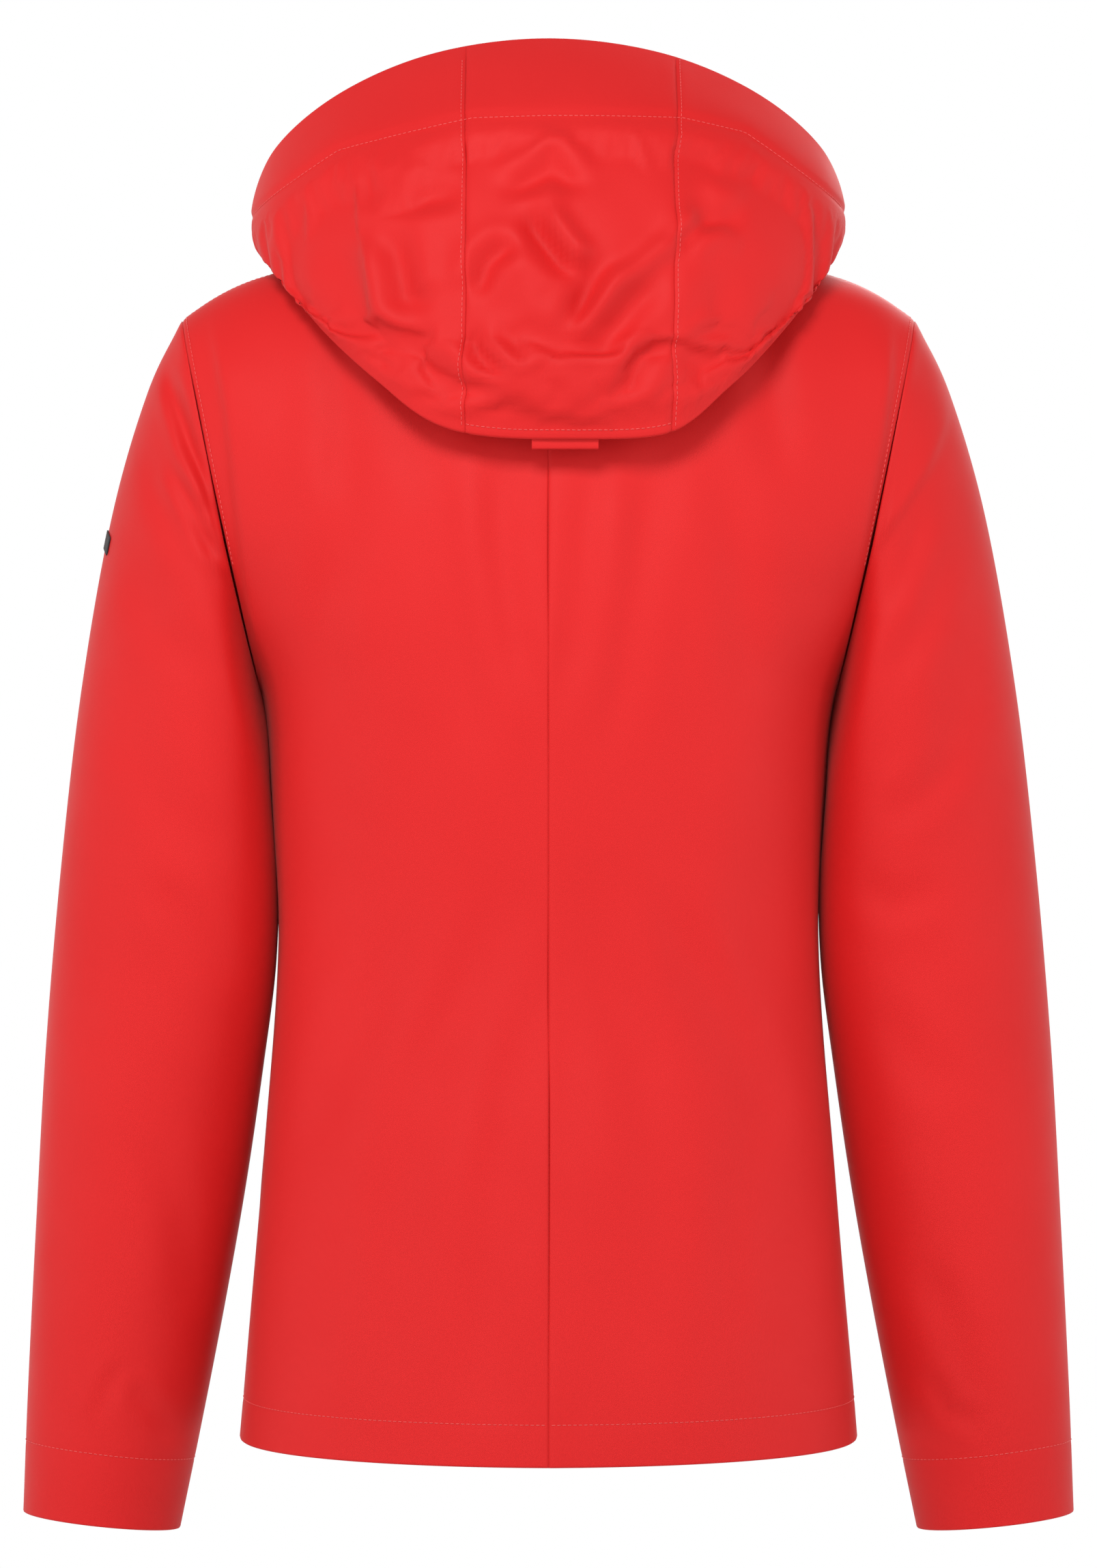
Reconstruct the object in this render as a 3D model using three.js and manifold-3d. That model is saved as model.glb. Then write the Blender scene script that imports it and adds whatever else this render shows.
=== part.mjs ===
// A women's hooded hardshell jacket, worn-shape and empty, in millimetres.
// +Z is up, the zip faces -Y and the wearer's left is +X. The origin is the seat of the hanger
// loop inside the back neck, where a hook carries the jacket.
import * as THREE from "three";
import { mergeVertices } from "three/addons/utils/BufferGeometryUtils.js";
import Module from "manifold-3d";

const wasm = await Module();
wasm.setup();

// ---------- driving dimensions ----------
const WALL = 1.6; // outer fabric
const FACING = 1.2; // inner facings, pouches and flaps
const GAP = 0.4; // between pieces that are sewn face to face
const SLEEVE_CLEARANCE = 1; // between the hanging sleeve and the body's side
const HEM_Z = -652;
const HEM_SIDE_RISE = 6; // the hem is this much higher at the side seams
const ARMPIT_Z = -232;
const CHEST_Z = -250; // above this the body starts to close over the shoulders
const NECK_HALF = 78;
const NECK_SIDE_Z = 22; // high point of the shoulder seam
const FRONT_NECK_DROP = 80;
const FRONT_NECK_POWER = 0.55; // how round the front neckline is, where 0.5 is half an ellipse
const HEM_RISE_POWER = 1.3;
const SHOULDER_SLOPE = 0.3;
const SHOULDER_CURVE = 0.006; // the shoulder rounds off towards the arm
const SHOULDER_BEND_X = 160;
const PLAN_POWER = 2.3; // squareness of the body seen from above
const SHOULDER_POWER = 2.6; // fullness of the upper body seen from the side
const FRONT_HEM_Y = -124; // centre front line, straight from hem to collar top
const COLLAR_TOP_Z = 14;
const FRONT_TOP_Y = -97;
const FRONT_OPENING = 5; // each front stops this far from the centre
const LOOP_SEAT = [0, 56, 12]; // underside of the hanger loop, before the jacket is moved to it
const ARMHOLE_SLOPE = 0.212;
const PANEL_COLUMNS = 10;
const PANEL_ROWS = 15;
const SLEEVE_COLUMNS = 20;
const SLEEVE_ROWS = 13;
const HEM_DEPTH = 22;
const CUFF_DEPTH = 40;

// ---------- maths ----------
const clamp = (x, lo, hi) => Math.min(hi, Math.max(lo, x));
const lerp = (a, b, t) => a + (b - a) * t;
const smooth = (t) => t * t * (3 - 2 * t);
const root = (t, power) => Math.pow(Math.max(0, 1 - Math.pow(Math.abs(t), power)), 1 / power);

// A smooth function through [position, value] pairs, sorted by position.
function through(pairs) {
  const slope = (i) => {
    const a = pairs[Math.max(0, i - 1)];
    const b = pairs[Math.min(pairs.length - 1, i + 1)];
    return (b[1] - a[1]) / (b[0] - a[0]);
  };
  return (x) => {
    let i = 0;
    while (i < pairs.length - 2 && x > pairs[i + 1][0]) i++;
    const [x0, y0] = pairs[i];
    const [x1, y1] = pairs[i + 1];
    const h = x1 - x0;
    const t = clamp((x - x0) / h, 0, 1);
    const bend = t * (1 - t) * h;
    return lerp(y0, y1, smooth(t)) + bend * ((1 - t) * slope(i) - t * slope(i + 1));
  };
}

// A curve through points of any size, evenly spaced in t from 0 to 1.
function path(points) {
  const axes = points[0].map((_, k) => through(points.map((p, i) => [i / (points.length - 1), p[k]])));
  return (t) => axes.map((f) => f(t));
}

// ---------- body ----------
const halfWidth = through([[-652, 172], [-500, 159], [-370, 150], [-290, 154], [-232, 160],
  [-185, 181], [-140, 209], [-60, 240], [60, 262]]);
const backDepth = through([[-652, 125], [-500, 118], [-370, 106], [-232, 118], [-100, 118], [20, 108]]);
const shoulderZ = (x) =>
  NECK_SIDE_Z - SHOULDER_SLOPE * (x - NECK_HALF) - SHOULDER_CURVE * Math.max(0, x - SHOULDER_BEND_X) ** 2;
const closing = (x, z) => (z > CHEST_Z ? root((z - CHEST_Z) / (shoulderZ(x) - CHEST_Z), SHOULDER_POWER) : 1);
const frontLineY = (z) => lerp(FRONT_HEM_Y, FRONT_TOP_Y, (z - HEM_Z) / (COLLAR_TOP_Z - HEM_Z));
const backY = (x, z) => backDepth(z) * root(x / halfWidth(z), PLAN_POWER) * closing(x, z);
const frontDepth = (z) => frontLineY(z) / closing(0, z);
const frontY = (x, z) => frontDepth(z) * root(x / halfWidth(z), PLAN_POWER) * closing(x, z);
const armholeX = (z) => 160 + ARMHOLE_SLOPE * (z - ARMPIT_Z);
const sideX = (z) => (z > ARMPIT_Z ? armholeX(z) : halfWidth(z));
const neckBackZ = (x) => NECK_SIDE_Z * Math.pow(clamp(x / NECK_HALF, 0, 1), 2.5);
const neckFrontZ = (x) => {
  const within = Math.max(0, 1 - (x / NECK_HALF) ** 2);
  return NECK_SIDE_Z - FRONT_NECK_DROP * within ** FRONT_NECK_POWER;
};

// Where the body's half reaches at height z, for u from the centre (0) to the side or armhole (1).
function bodyX(u, z) {
  const a = halfWidth(z);
  const edge = z > ARMPIT_Z ? Math.min(1, armholeX(z) / a) : 1;
  const widest = Math.asin(Math.pow(edge, PLAN_POWER / 2));
  return a * Math.pow(Math.sin(u * widest), 2 / PLAN_POWER);
}

// Highest z of a body column: the neckline near the centre, the shoulder ridge further out.
function bodyTop(u, neckZ) {
  let lo = ARMPIT_Z;
  let hi = 60;
  for (let i = 0; i < 40; i++) {
    const z = (lo + hi) / 2;
    const x = bodyX(u, z);
    if (z < (x < NECK_HALF ? neckZ(x) : shoulderZ(x))) lo = z;
    else hi = z;
  }
  return lo;
}

const hemZ = (u) => HEM_Z + HEM_SIDE_RISE * u ** HEM_RISE_POWER;
const bodyRow = (u, v, neckZ) => lerp(hemZ(u), bodyTop(u, neckZ), 1 - Math.pow(1 - v, 1.8));
const backAt = (u, v) => {
  const z = bodyRow(u, v, neckBackZ);
  const x = bodyX(u, z);
  return new THREE.Vector3(x, backY(x, z), z);
};
const frontAt = (u, v) => {
  const z = bodyRow(u, v, neckFrontZ);
  const x = bodyX(u, z);
  return new THREE.Vector3(x, frontY(x, z), z);
};

// Height of the body's surface above a plan point beside the neck.
function bodyZ(x, y) {
  let lo = CHEST_Z;
  let hi = shoulderZ(x);
  for (let i = 0; i < 40; i++) {
    const z = (lo + hi) / 2;
    if ((y > 0 ? backY(x, z) : -frontY(x, z)) > Math.abs(y)) lo = z;
    else hi = z;
  }
  return lo;
}

// ---------- sleeve (wearer's left; the right one is its mirror image) ----------
const TIP_Z = bodyTop(1, neckBackZ); // the shoulder's ridge meets the armhole here
const SHOULDER_TIP = [armholeX(TIP_Z), TIP_Z];
const sleeveOuter = path([[SHOULDER_TIP[0] + GAP, TIP_Z], [223, -66.5], [243, -135], [260, -230],
  [271.8, -330], [280.6, -430], [286.5, -530], [291.3, -620], [294.3, -690.5]]);
const sleeveInner = path([[armholeX(ARMPIT_Z) + GAP, ARMPIT_Z], [154, -285], [150.5, -335],
  [151.8, -385], [158.8, -440], [168.5, -505], [180.4, -572], [193.8, -640], [206.3, -700]]);
const sleeveDepth = path([[62], [68], [66], [62], [59], [56], [52], [47], [42]]);
const sleeveForward = path([[0], [0], [-2], [-5], [-9], [-14], [-19], [-24], [-28]]);
const ARMHOLE_JOIN = 0.16; // share of the sleeve over which the armhole's outline turns to an oval

// w runs from the armhole (0) to the cuff (1); turn is 0 at the outside, a quarter turn at the back.
function sleeveAt(w, turn) {
  const [ox, oz] = sleeveOuter(w);
  const [ix, iz] = sleeveInner(w);
  const out = (1 + Math.cos(turn)) / 2;
  const back = Math.sin(turn) > 0;
  const holeZ = lerp(ARMPIT_Z, TIP_Z, out);
  const holeX = armholeX(holeZ);
  const hole = back ? backY(holeX, holeZ) : -frontY(holeX, holeZ);
  const oval = sleeveDepth(w)[0] * Math.abs(Math.sin(turn));
  const depth = lerp(hole, oval, smooth(clamp(w / ARMHOLE_JOIN, 0, 1)));
  const y = sleeveForward(w)[0] + (back ? depth : -depth);
  return new THREE.Vector3(lerp(ix, ox, out), y, lerp(iz, oz, out));
}
function sleeveMiddle(w) {
  const [ox, oz] = sleeveOuter(w);
  const [ix, iz] = sleeveInner(w);
  return new THREE.Vector3((ox + ix) / 2, sleeveForward(w)[0], (oz + iz) / 2);
}

// ---------- hood ----------
// t runs from the front end on the wearer's right (-1) over the centre back (0) to the left end (1).
// Each curve is given from the centre back to the left end, and mirrored.
function aroundHood(half) {
  const mirrored = half.slice(1).reverse().map(([x, y, z]) => [-x, y, z]);
  const whole = path([...mirrored, ...half]);
  return (t) => whole((t + 1) / 2);
}
const onBody = (x, y, lift) => [x, y, bodyZ(x, y) + lift];
const rim = aroundHood([[0, 40, 126.5], [62, 38, 118.8], [114, 30, 98], [151, 14, 69],
  [164.5, -8, 38], [160, -34, 22], [140, -62, 15], [100, -88, 11], [52, -106, -8]]);
const bulge = aroundHood([[0, 128, 24], [62, 122, 22], [112, 100, 17], [148, 64, 14],
  [162.5, 18, 16], [157.5, -20, 13], [141, -54, 9], [101, -83, 5], [52, -104, -20]]);
const fold = aroundHood([[0, 132, -97.5], [60, 128, -93], [96, 115, -67], [126, 90, -37],
  [149, 50, -6], onBody(151, 4, 3.5), onBody(138, -38, 6), onBody(99, -68, 7.5), [52, -99, -33]]);
const neckSeam = aroundHood([onBody(0, 82, 6), onBody(32, 79, 6), onBody(60, 64, 6),
  onBody(80, 36, 6), onBody(87, 2, 7.5), onBody(87, -32, 7.5), onBody(82, -58, 6), onBody(68, -84, 6),
  [53, -98, -34]]);
const HOOD_SEAMS = [-0.143, 0.09]; // the centre panel hangs turned towards the wearer's right
const HOOD_SEAM_GAP = 0.0008;
const UNDER_END = 0.86; // the under panel stops where the hood meets the neck seam
const UNDER_REACH = 0.88; // and short of the fold by this share of its width

const HOOD_TURN = 0.03; // the fold hangs turned towards the wearer's right by this share of the way

// s runs from the rim (0) over the bulge (0.5) to the fold (1).
function hoodAt(t, s) {
  const hung = t + HOOD_TURN * s * (1 - Math.abs(t)) ** 2;
  const at = (curve, axis) => curve(axis === 0 ? t : hung)[axis];
  const p = [0, 1, 2].map((axis) => {
    const [start, middle, end] = [at(rim, axis), at(bulge, axis), at(fold, axis)];
    const pull = 2 * middle - (start + end) / 2; // makes the arc pass through the bulge
    return (1 - s) ** 2 * start + 2 * s * (1 - s) * pull + s * s * end;
  });
  return new THREE.Vector3(...p);
}
// s runs from the neck seam (0) to just short of the fold (1).
function underAt(t, s) {
  return new THREE.Vector3(...neckSeam(t)).lerp(hoodAt(t, 1), s * UNDER_REACH);
}

// ---------- closed solids ----------
const even = (n, lo = 0, hi = 1) => Array.from({ length: n + 1 }, (_, i) => lerp(lo, hi, i / n));

function geometryOf(vertices, faces) {
  let volume = 0;
  for (const [a, b, c] of faces) volume += vertices[a].dot(vertices[b].clone().cross(vertices[c]));
  const g = new THREE.BufferGeometry().setFromPoints(vertices);
  g.setIndex(faces.flatMap(([a, b, c]) => (volume < 0 ? [a, c, b] : [a, b, c])));
  return g;
}

// A sheet of cloth with a real thickness. at(u, v) is a surface sampled at every u of us and v of
// vs, and the cloth lies between the depths `from` and `to` under it, measured towards core(p).
// keep holds each vertex on its own side of a seam. A sheet that goes right around repeats its
// first column at the end of us.
function sheet({ at, us, vs, from = 0, to = WALL, core, keep = (p) => p, around = false }) {
  const step = 1e-3;
  const columns = around ? us.length - 1 : us.length;
  const normalAt = (u, v) => {
    const across = at(around ? u + step : Math.min(us.at(-1), u + step), v);
    across.sub(at(around ? u - step : Math.max(us[0], u - step), v));
    const along = at(u, Math.min(vs.at(-1), v + step)).sub(at(u, Math.max(vs[0], v - step)));
    const p = at(u, v);
    const n = across.cross(along).normalize();
    return n.dot(p.sub(core(u, v))) < 0 ? n.negate() : n;
  };
  const sunk = (u, v, depth) => keep(at(u, v).addScaledVector(normalAt(u, v), -depth));
  const face = (depth) => vs.flatMap((v) => us.slice(0, columns).map((u) => sunk(u, v, depth)));
  const vertices = [...face(from), ...face(to)];
  const id = (i, j, side) => (side * vertices.length) / 2 + j * columns + (i % columns);
  const faces = [];
  const quad = (a, b, c, d) => faces.push([a, b, c], [a, c, d]);
  const [nu, nv] = [us.length - 1, vs.length - 1];
  for (let j = 0; j < nv; j++)
    for (let i = 0; i < nu; i++) {
      quad(id(i, j, 0), id(i + 1, j, 0), id(i + 1, j + 1, 0), id(i, j + 1, 0));
      quad(id(i, j + 1, 1), id(i + 1, j + 1, 1), id(i + 1, j, 1), id(i, j, 1));
    }
  for (let i = 0; i < nu; i++) {
    quad(id(i + 1, 0, 0), id(i, 0, 0), id(i, 0, 1), id(i + 1, 0, 1));
    quad(id(i, nv, 0), id(i + 1, nv, 0), id(i + 1, nv, 1), id(i, nv, 1));
  }
  if (!around)
    for (let j = 0; j < nv; j++) {
      quad(id(0, j, 0), id(0, j + 1, 0), id(0, j + 1, 1), id(0, j, 1));
      quad(id(nu, j + 1, 0), id(nu, j, 0), id(nu, j, 1), id(nu, j + 1, 1));
    }
  return geometryOf(vertices, faces);
}

function solidOf(geometry) {
  const g = geometry.clone();
  for (const name of Object.keys(g.attributes)) if (name !== "position") g.deleteAttribute(name);
  const merged = mergeVertices(g, 1e-4);
  const vertProperties = new Float32Array(merged.attributes.position.array);
  return new wasm.Manifold(
    new wasm.Mesh({ numProp: 3, vertProperties, triVerts: new Uint32Array(merged.index.array) }),
  );
}
function geometryOfSolid(solid) {
  const m = solid.getMesh();
  const g = new THREE.BufferGeometry();
  g.setAttribute("position", new THREE.BufferAttribute(new Float32Array(m.vertProperties), 3));
  g.setIndex(Array.from(m.triVerts));
  return g;
}
const joined = (...parts) => geometryOfSolid(parts.map(solidOf).reduce((a, b) => a.add(b)));
const cut = (whole, tool) => geometryOfSolid(solidOf(whole).subtract(solidOf(tool)));
function mirrored(geometry) {
  const g = geometry.clone().applyMatrix4(new THREE.Matrix4().makeScale(-1, 1, 1));
  const index = Array.from(g.index.array);
  for (let k = 0; k < index.length; k += 3) [index[k + 1], index[k + 2]] = [index[k + 2], index[k + 1]];
  g.setIndex(index);
  return g;
}
const box = (x0, x1, y0, y1, z0, z1) =>
  new THREE.BoxGeometry(x1 - x0, y1 - y0, z1 - z0).translate((x0 + x1) / 2, (y0 + y1) / 2, (z0 + z1) / 2);
// An eight or more sided pin along X, Y or Z, centred on a point.
function pin(axis, radius, length, centre, sides = 16) {
  const g = new THREE.CylinderGeometry(radius, radius, length, sides);
  if (axis === "x") g.rotateZ(Math.PI / 2);
  if (axis === "z") g.rotateX(Math.PI / 2);
  return g.translate(...centre);
}

// ---------- materials and placing ----------
const cloth = (colour) => new THREE.MeshStandardMaterial({ color: colour, roughness: 0.62, metalness: 0 });
const shellRed = cloth("#e03236");
const facingRed = cloth("#c92b31");
const darkTrim = cloth("#3b3d40");
const zipRed = new THREE.MeshStandardMaterial({ color: "#b8262c", roughness: 0.45, metalness: 0 });
const darkPlastic = new THREE.MeshStandardMaterial({ color: "#26282a", roughness: 0.4, metalness: 0 });
const darkMetal = new THREE.MeshStandardMaterial({ color: "#4a4c50", roughness: 0.35, metalness: 0.9 });

const jacket = new THREE.Group();
jacket.position.set(...LOOP_SEAT).negate();
function piece(name, geometry, material, frame) {
  const mesh = new THREE.Mesh(geometry, material);
  mesh.name = name;
  if (frame) mesh.applyMatrix4(frame);
  jacket.add(mesh);
}
// The wearer's left piece as built, and its mirror image on the right.
function pair(name, geometry, material, frame) {
  const placed = frame ? geometry.clone().applyMatrix4(frame) : geometry;
  piece(name + "_left", placed, material);
  piece(name + "_right", mirrored(placed), material);
}

// ---------- pocket zips, in the left front ----------
const POCKET_LENGTH = 150;
const POCKET_SLOT = 9;
const pocketEnds = [[96, -432], [118, -582]].map(([x, z]) => new THREE.Vector3(x, frontY(x, z), z));
// Local Z runs up the zip, local Y goes into the jacket, and the origin is halfway along.
const pocketFrame = (() => {
  const [top, bottom] = pocketEnds;
  const middle = top.clone().lerp(bottom, 0.5);
  middle.y = frontY(middle.x, middle.z);
  const up = top.clone().sub(bottom).normalize();
  const across = new THREE.Vector3(1, frontY(middle.x + 1, middle.z) - middle.y, 0);
  const inward = up.clone().cross(across).normalize();
  const side = inward.clone().cross(up);
  return new THREE.Matrix4().makeBasis(side, inward, up).setPosition(middle);
})();
const half = POCKET_LENGTH / 2;

pair("pocket_zip_tape", box(-9, 9, 3.4, 4.1, -half - 3, half + 3), zipRed, pocketFrame);
pair("pocket_zip_chain", box(-2, 2, 2.2, 3.1, -half + 1, half - 1), zipRed, pocketFrame);
const POCKET_SLIDER_Z = half - 6;
pair(
  "pocket_slider",
  joined(
    box(-3.2, 3.2, 0.7, 1.9, POCKET_SLIDER_Z - 4.5, POCKET_SLIDER_Z + 4.5),
    box(-1, 1, -1.6, 1, POCKET_SLIDER_Z + 1.4, POCKET_SLIDER_Z + 3),
    box(-1, 1, -1.6, 1, POCKET_SLIDER_Z - 3, POCKET_SLIDER_Z - 1.4),
    box(-1, 1, -1.6, -0.9, POCKET_SLIDER_Z - 3, POCKET_SLIDER_Z + 3),
  ),
  darkMetal,
  pocketFrame,
);
// A pull hangs from the slider's bridge by a bar that passes under it. The eye below the bar is
// long enough to swing clear of the bridge.
function pull({ width, length, bar, eyeWidth, eyeLength, y0, y1, z }) {
  const tongue = box(-width / 2, width / 2, y0, y1, z + bar / 2 - length, z + bar / 2);
  return cut(tongue, box(-eyeWidth / 2, eyeWidth / 2, y0 - 1, y1 + 1, z - bar / 2 - eyeLength, z - bar / 2));
}
const pocketPull = { width: 4.6, length: 24, bar: 0.9, eyeWidth: 2.8, eyeLength: 3.5 };
pair("pocket_pull", pull({ ...pocketPull, y0: -0.55, y1: 0.35, z: POCKET_SLIDER_Z }), darkTrim, pocketFrame);

const pouchDepth = (u, v) => 3.4 + 9 * Math.sqrt(Math.sin(Math.PI * u) * Math.sin(Math.PI * v));
const pouchAt = (u, v) => {
  const z = lerp(-618, -418, v);
  const x = lerp(36, 132, u);
  return new THREE.Vector3(x, frontY(x, z), z);
};
const axisOfBody = (at) => (u, v) => new THREE.Vector3(0, 0, at(u, v).z - 30);
const pouchSurface = (u, v) => {
  const p = pouchAt(u, v);
  return p.add(new THREE.Vector3(-p.x, -p.y, 0).normalize().multiplyScalar(pouchDepth(u, v)));
};
pair(
  "pocket_pouch",
  sheet({ at: pouchSurface, us: even(8), vs: even(8), to: FACING, core: axisOfBody(pouchSurface) }),
  facingRed,
);

// ---------- body panels ----------
const columns = even(PANEL_COLUMNS);
const rows = even(PANEL_ROWS);
const SEAM = 0.2; // half the gap at a sewn seam
pair(
  "back_panel",
  sheet({
    at: backAt,
    us: columns,
    vs: rows,
    core: axisOfBody(backAt),
    keep: (p) => p.set(clamp(p.x, SEAM, sideX(p.z)), Math.max(p.y, SEAM), p.z),
  }),
  shellRed,
);
const frontSheet = sheet({
  at: frontAt,
  us: columns,
  vs: rows,
  core: axisOfBody(frontAt),
  keep: (p) => p.set(clamp(p.x, FRONT_OPENING, sideX(p.z)), Math.min(p.y, -SEAM), p.z),
});
const pocketSlot = box(-POCKET_SLOT / 2, POCKET_SLOT / 2, -9, 5.5, -half, half).applyMatrix4(pocketFrame);
pair("front_panel", cut(frontSheet, pocketSlot), shellRed);

// ---------- hem facing, right round from front to front ----------
function hemAt(s, height) {
  const panel = Math.min(3, Math.floor(s));
  const u = [s, 2 - s, s - 2, 4 - s][panel];
  const z = hemZ(u) + height;
  const x = bodyX(u, z) * (panel < 2 ? 1 : -1);
  return new THREE.Vector3(x, panel === 0 || panel === 3 ? frontY(Math.abs(x), z) : backY(Math.abs(x), z), z);
}
piece(
  "hem_facing",
  sheet({
    at: hemAt,
    us: even(38, 0.1, 3.9),
    vs: [0.5, HEM_DEPTH],
    from: WALL + 0.6,
    to: WALL + 0.6 + FACING,
    core: (s, height) => new THREE.Vector3(0, 0, HEM_Z + height - 5),
  }),
  facingRed,
);

// ---------- collar ----------
const COLLAR_BACK_Z = 42;
const COLLAR_INSET = 0.955; // the collar's plan against the neckline's
function neckline(t) {
  const a = Math.abs(t);
  const x = NECK_HALF * Math.sin(Math.PI * a);
  const front = a < 0.5;
  const z = front ? neckFrontZ(x) : neckBackZ(x);
  return new THREE.Vector3(x, front ? frontY(x, z) : backY(x, z), z);
}
// s runs round the neck from the left front (0) past the back (1) to the right front (2).
function collarAt(s, v) {
  const base = neckline(s <= 1 ? s : 2 - s);
  const back = s <= 1 ? s : 2 - s;
  const top = lerp(COLLAR_TOP_Z, COLLAR_BACK_Z, smooth(clamp(back * 1.6, 0, 1)));
  const z = lerp(base.z, top, v);
  const x = base.x * COLLAR_INSET * (s <= 1 ? 1 : -1);
  const lean = lerp(frontLineY(z) - frontLineY(base.z), -9 * v, smooth(back));
  return new THREE.Vector3(x, -10 + (base.y + 10) * COLLAR_INSET + lean, z);
}
piece(
  "collar",
  sheet({
    at: collarAt,
    us: even(32, 0.03, 1.97),
    vs: even(3),
    core: (s, v) => new THREE.Vector3(0, -15, collarAt(s, v).z),
  }),
  shellRed,
);

// ---------- centre front zip ----------
const ZIP_LENGTH = Math.hypot(FRONT_TOP_Y - FRONT_HEM_Y, COLLAR_TOP_Z - HEM_Z);
// Local Z runs up the zip from the hem, and local Y goes into the jacket.
const zipFrame = (() => {
  const up = new THREE.Vector3(0, FRONT_TOP_Y - FRONT_HEM_Y, COLLAR_TOP_Z - HEM_Z).normalize();
  const side = new THREE.Vector3(1, 0, 0);
  return new THREE.Matrix4().makeBasis(side, up.clone().cross(side), up).setPosition(0, FRONT_HEM_Y, HEM_Z);
})();
const ZIP_BOX = 13;
pair("zip_tape", box(0.15, 14, 2.6, 3.3, 1, ZIP_LENGTH - 1), zipRed, zipFrame);
pair("zip_chain", box(0.15, 3.4, 1.3, 2.4, ZIP_BOX + 1, ZIP_LENGTH - 5), zipRed, zipFrame);
pair("zip_top_stop", box(0.5, 3.2, 1, 2.4, ZIP_LENGTH - 4.6, ZIP_LENGTH - 2), darkMetal, zipFrame);
piece("zip_bottom_box", box(-4.4, -0.2, -0.4, 2.3, 1, ZIP_BOX), darkPlastic, zipFrame);
piece("zip_pin", box(0.2, 3, 0.2, 2.3, 1, ZIP_BOX), darkPlastic, zipFrame);
const SLIDER_Z = ZIP_LENGTH - 13;
piece(
  "zip_slider",
  joined(
    box(-4.3, 4.3, -0.6, 1, SLIDER_Z - 6.5, SLIDER_Z + 6.5),
    box(-1.4, 1.4, -3.8, 0, SLIDER_Z + 2.6, SLIDER_Z + 4.4),
    box(-1.4, 1.4, -3.8, 0, SLIDER_Z - 4.4, SLIDER_Z - 2.6),
    box(-1.4, 1.4, -3.8, -2.8, SLIDER_Z - 4.4, SLIDER_Z + 4.4),
  ),
  darkMetal,
  zipFrame,
);
const zipPull = { width: 6, length: 38, bar: 1.2, eyeWidth: 3.6, eyeLength: 4.7 };
piece("zip_pull", pull({ ...zipPull, y0: -2.3, y1: -1.1, z: SLIDER_Z }), darkTrim, zipFrame);
piece("storm_flap", box(-13, 16, 7.4, 8.6, 10, ZIP_LENGTH - 42), facingRed, zipFrame);
piece("chin_guard", box(-6, 14, 7.4, 8.6, ZIP_LENGTH - 40, ZIP_LENGTH - 4), darkTrim, zipFrame);

// ---------- hanger loop inside the back neck ----------
const LOOP_HALF = 20;
const STRAP = 1.6;
const [, loopY, loopZ] = LOOP_SEAT;
const loopLeg = (x0, x1) =>
  joined(
    box(x0, x1, loopY - 3, loopY + 3, loopZ - 19, loopZ + STRAP),
    box(x0, x1, loopY - 3, loopY + 13, loopZ - 19, loopZ - 19 + STRAP),
  );
piece(
  "hanger_loop",
  joined(
    box(-LOOP_HALF, LOOP_HALF, loopY - 3, loopY + 3, loopZ, loopZ + STRAP),
    loopLeg(-LOOP_HALF, -LOOP_HALF + STRAP),
    loopLeg(LOOP_HALF - STRAP, LOOP_HALF),
  ),
  darkTrim,
);

// ---------- sleeves and cuffs ----------
const turns = even(SLEEVE_COLUMNS, 0, 2 * Math.PI);
const sleeve = (turn, w) => sleeveAt(w, turn);
const sleeveCore = (turn, w) => sleeveMiddle(w);
pair(
  "sleeve",
  sheet({
    at: sleeve,
    us: turns,
    vs: even(SLEEVE_ROWS),
    core: sleeveCore,
    around: true,
    keep: (p) => p.set(Math.max(p.x, sideX(p.z) + SLEEVE_CLEARANCE), p.y, p.z),
  }),
  shellRed,
);
const cuffStart = 1 - CUFF_DEPTH / 680;
pair(
  "cuff_facing",
  sheet({
    at: sleeve,
    us: turns,
    vs: even(1, cuffStart, 0.998),
    from: WALL + 0.6,
    to: WALL + 0.6 + FACING,
    core: sleeveCore,
    around: true,
  }),
  facingRed,
);
// The tab is sewn at the outer front of the cuff and closes towards the inside of the wrist.
const TAB_ENDS = [1.2 * Math.PI, 1.7 * Math.PI];
const TAB_ROWS = [0.938, 0.972];
const patchTurns = even(3, TAB_ENDS[0], 1.5 * Math.PI);
pair(
  "cuff_loop_patch",
  sheet({ at: sleeve, us: patchTurns, vs: TAB_ROWS, from: -1.3, to: -0.5, core: sleeveCore }),
  darkTrim,
);
pair(
  "cuff_tab",
  sheet({ at: sleeve, us: even(5, ...TAB_ENDS), vs: TAB_ROWS, from: -3, to: -1.7, core: sleeveCore }),
  shellRed,
);
// A plain dark patch on the outside of the left upper arm.
piece(
  "sleeve_patch",
  sheet({
    at: sleeve,
    us: even(2, -0.1 * Math.PI, 0.1 * Math.PI),
    vs: [0.262, 0.276],
    from: -1,
    to: -0.4,
    core: sleeveCore,
  }),
  darkTrim,
);

// ---------- hem cord locks, inside the hem near the side seams ----------
const LOCK = { x: 151, y: 14, z: HEM_Z + 27, radius: 6, length: 13 };
const lockTop = LOCK.z + LOCK.length / 2;
const lockPin = (radius, low, high) => pin("z", radius, high - low, [LOCK.x, LOCK.y, (low + high) / 2]);
const lockBody = lockPin(LOCK.radius, LOCK.z - LOCK.length / 2, lockTop);
const barrel = cut(lockBody, lockPin(4.8, lockTop - 9, lockTop + 1));
pair("hem_lock", cut(barrel, pin("y", 1.6, 20, [LOCK.x, LOCK.y, LOCK.z - 0.5], 12)), darkPlastic);
pair("hem_lock_button", lockPin(4.4, lockTop - 5, lockTop + 3), darkPlastic);

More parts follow.
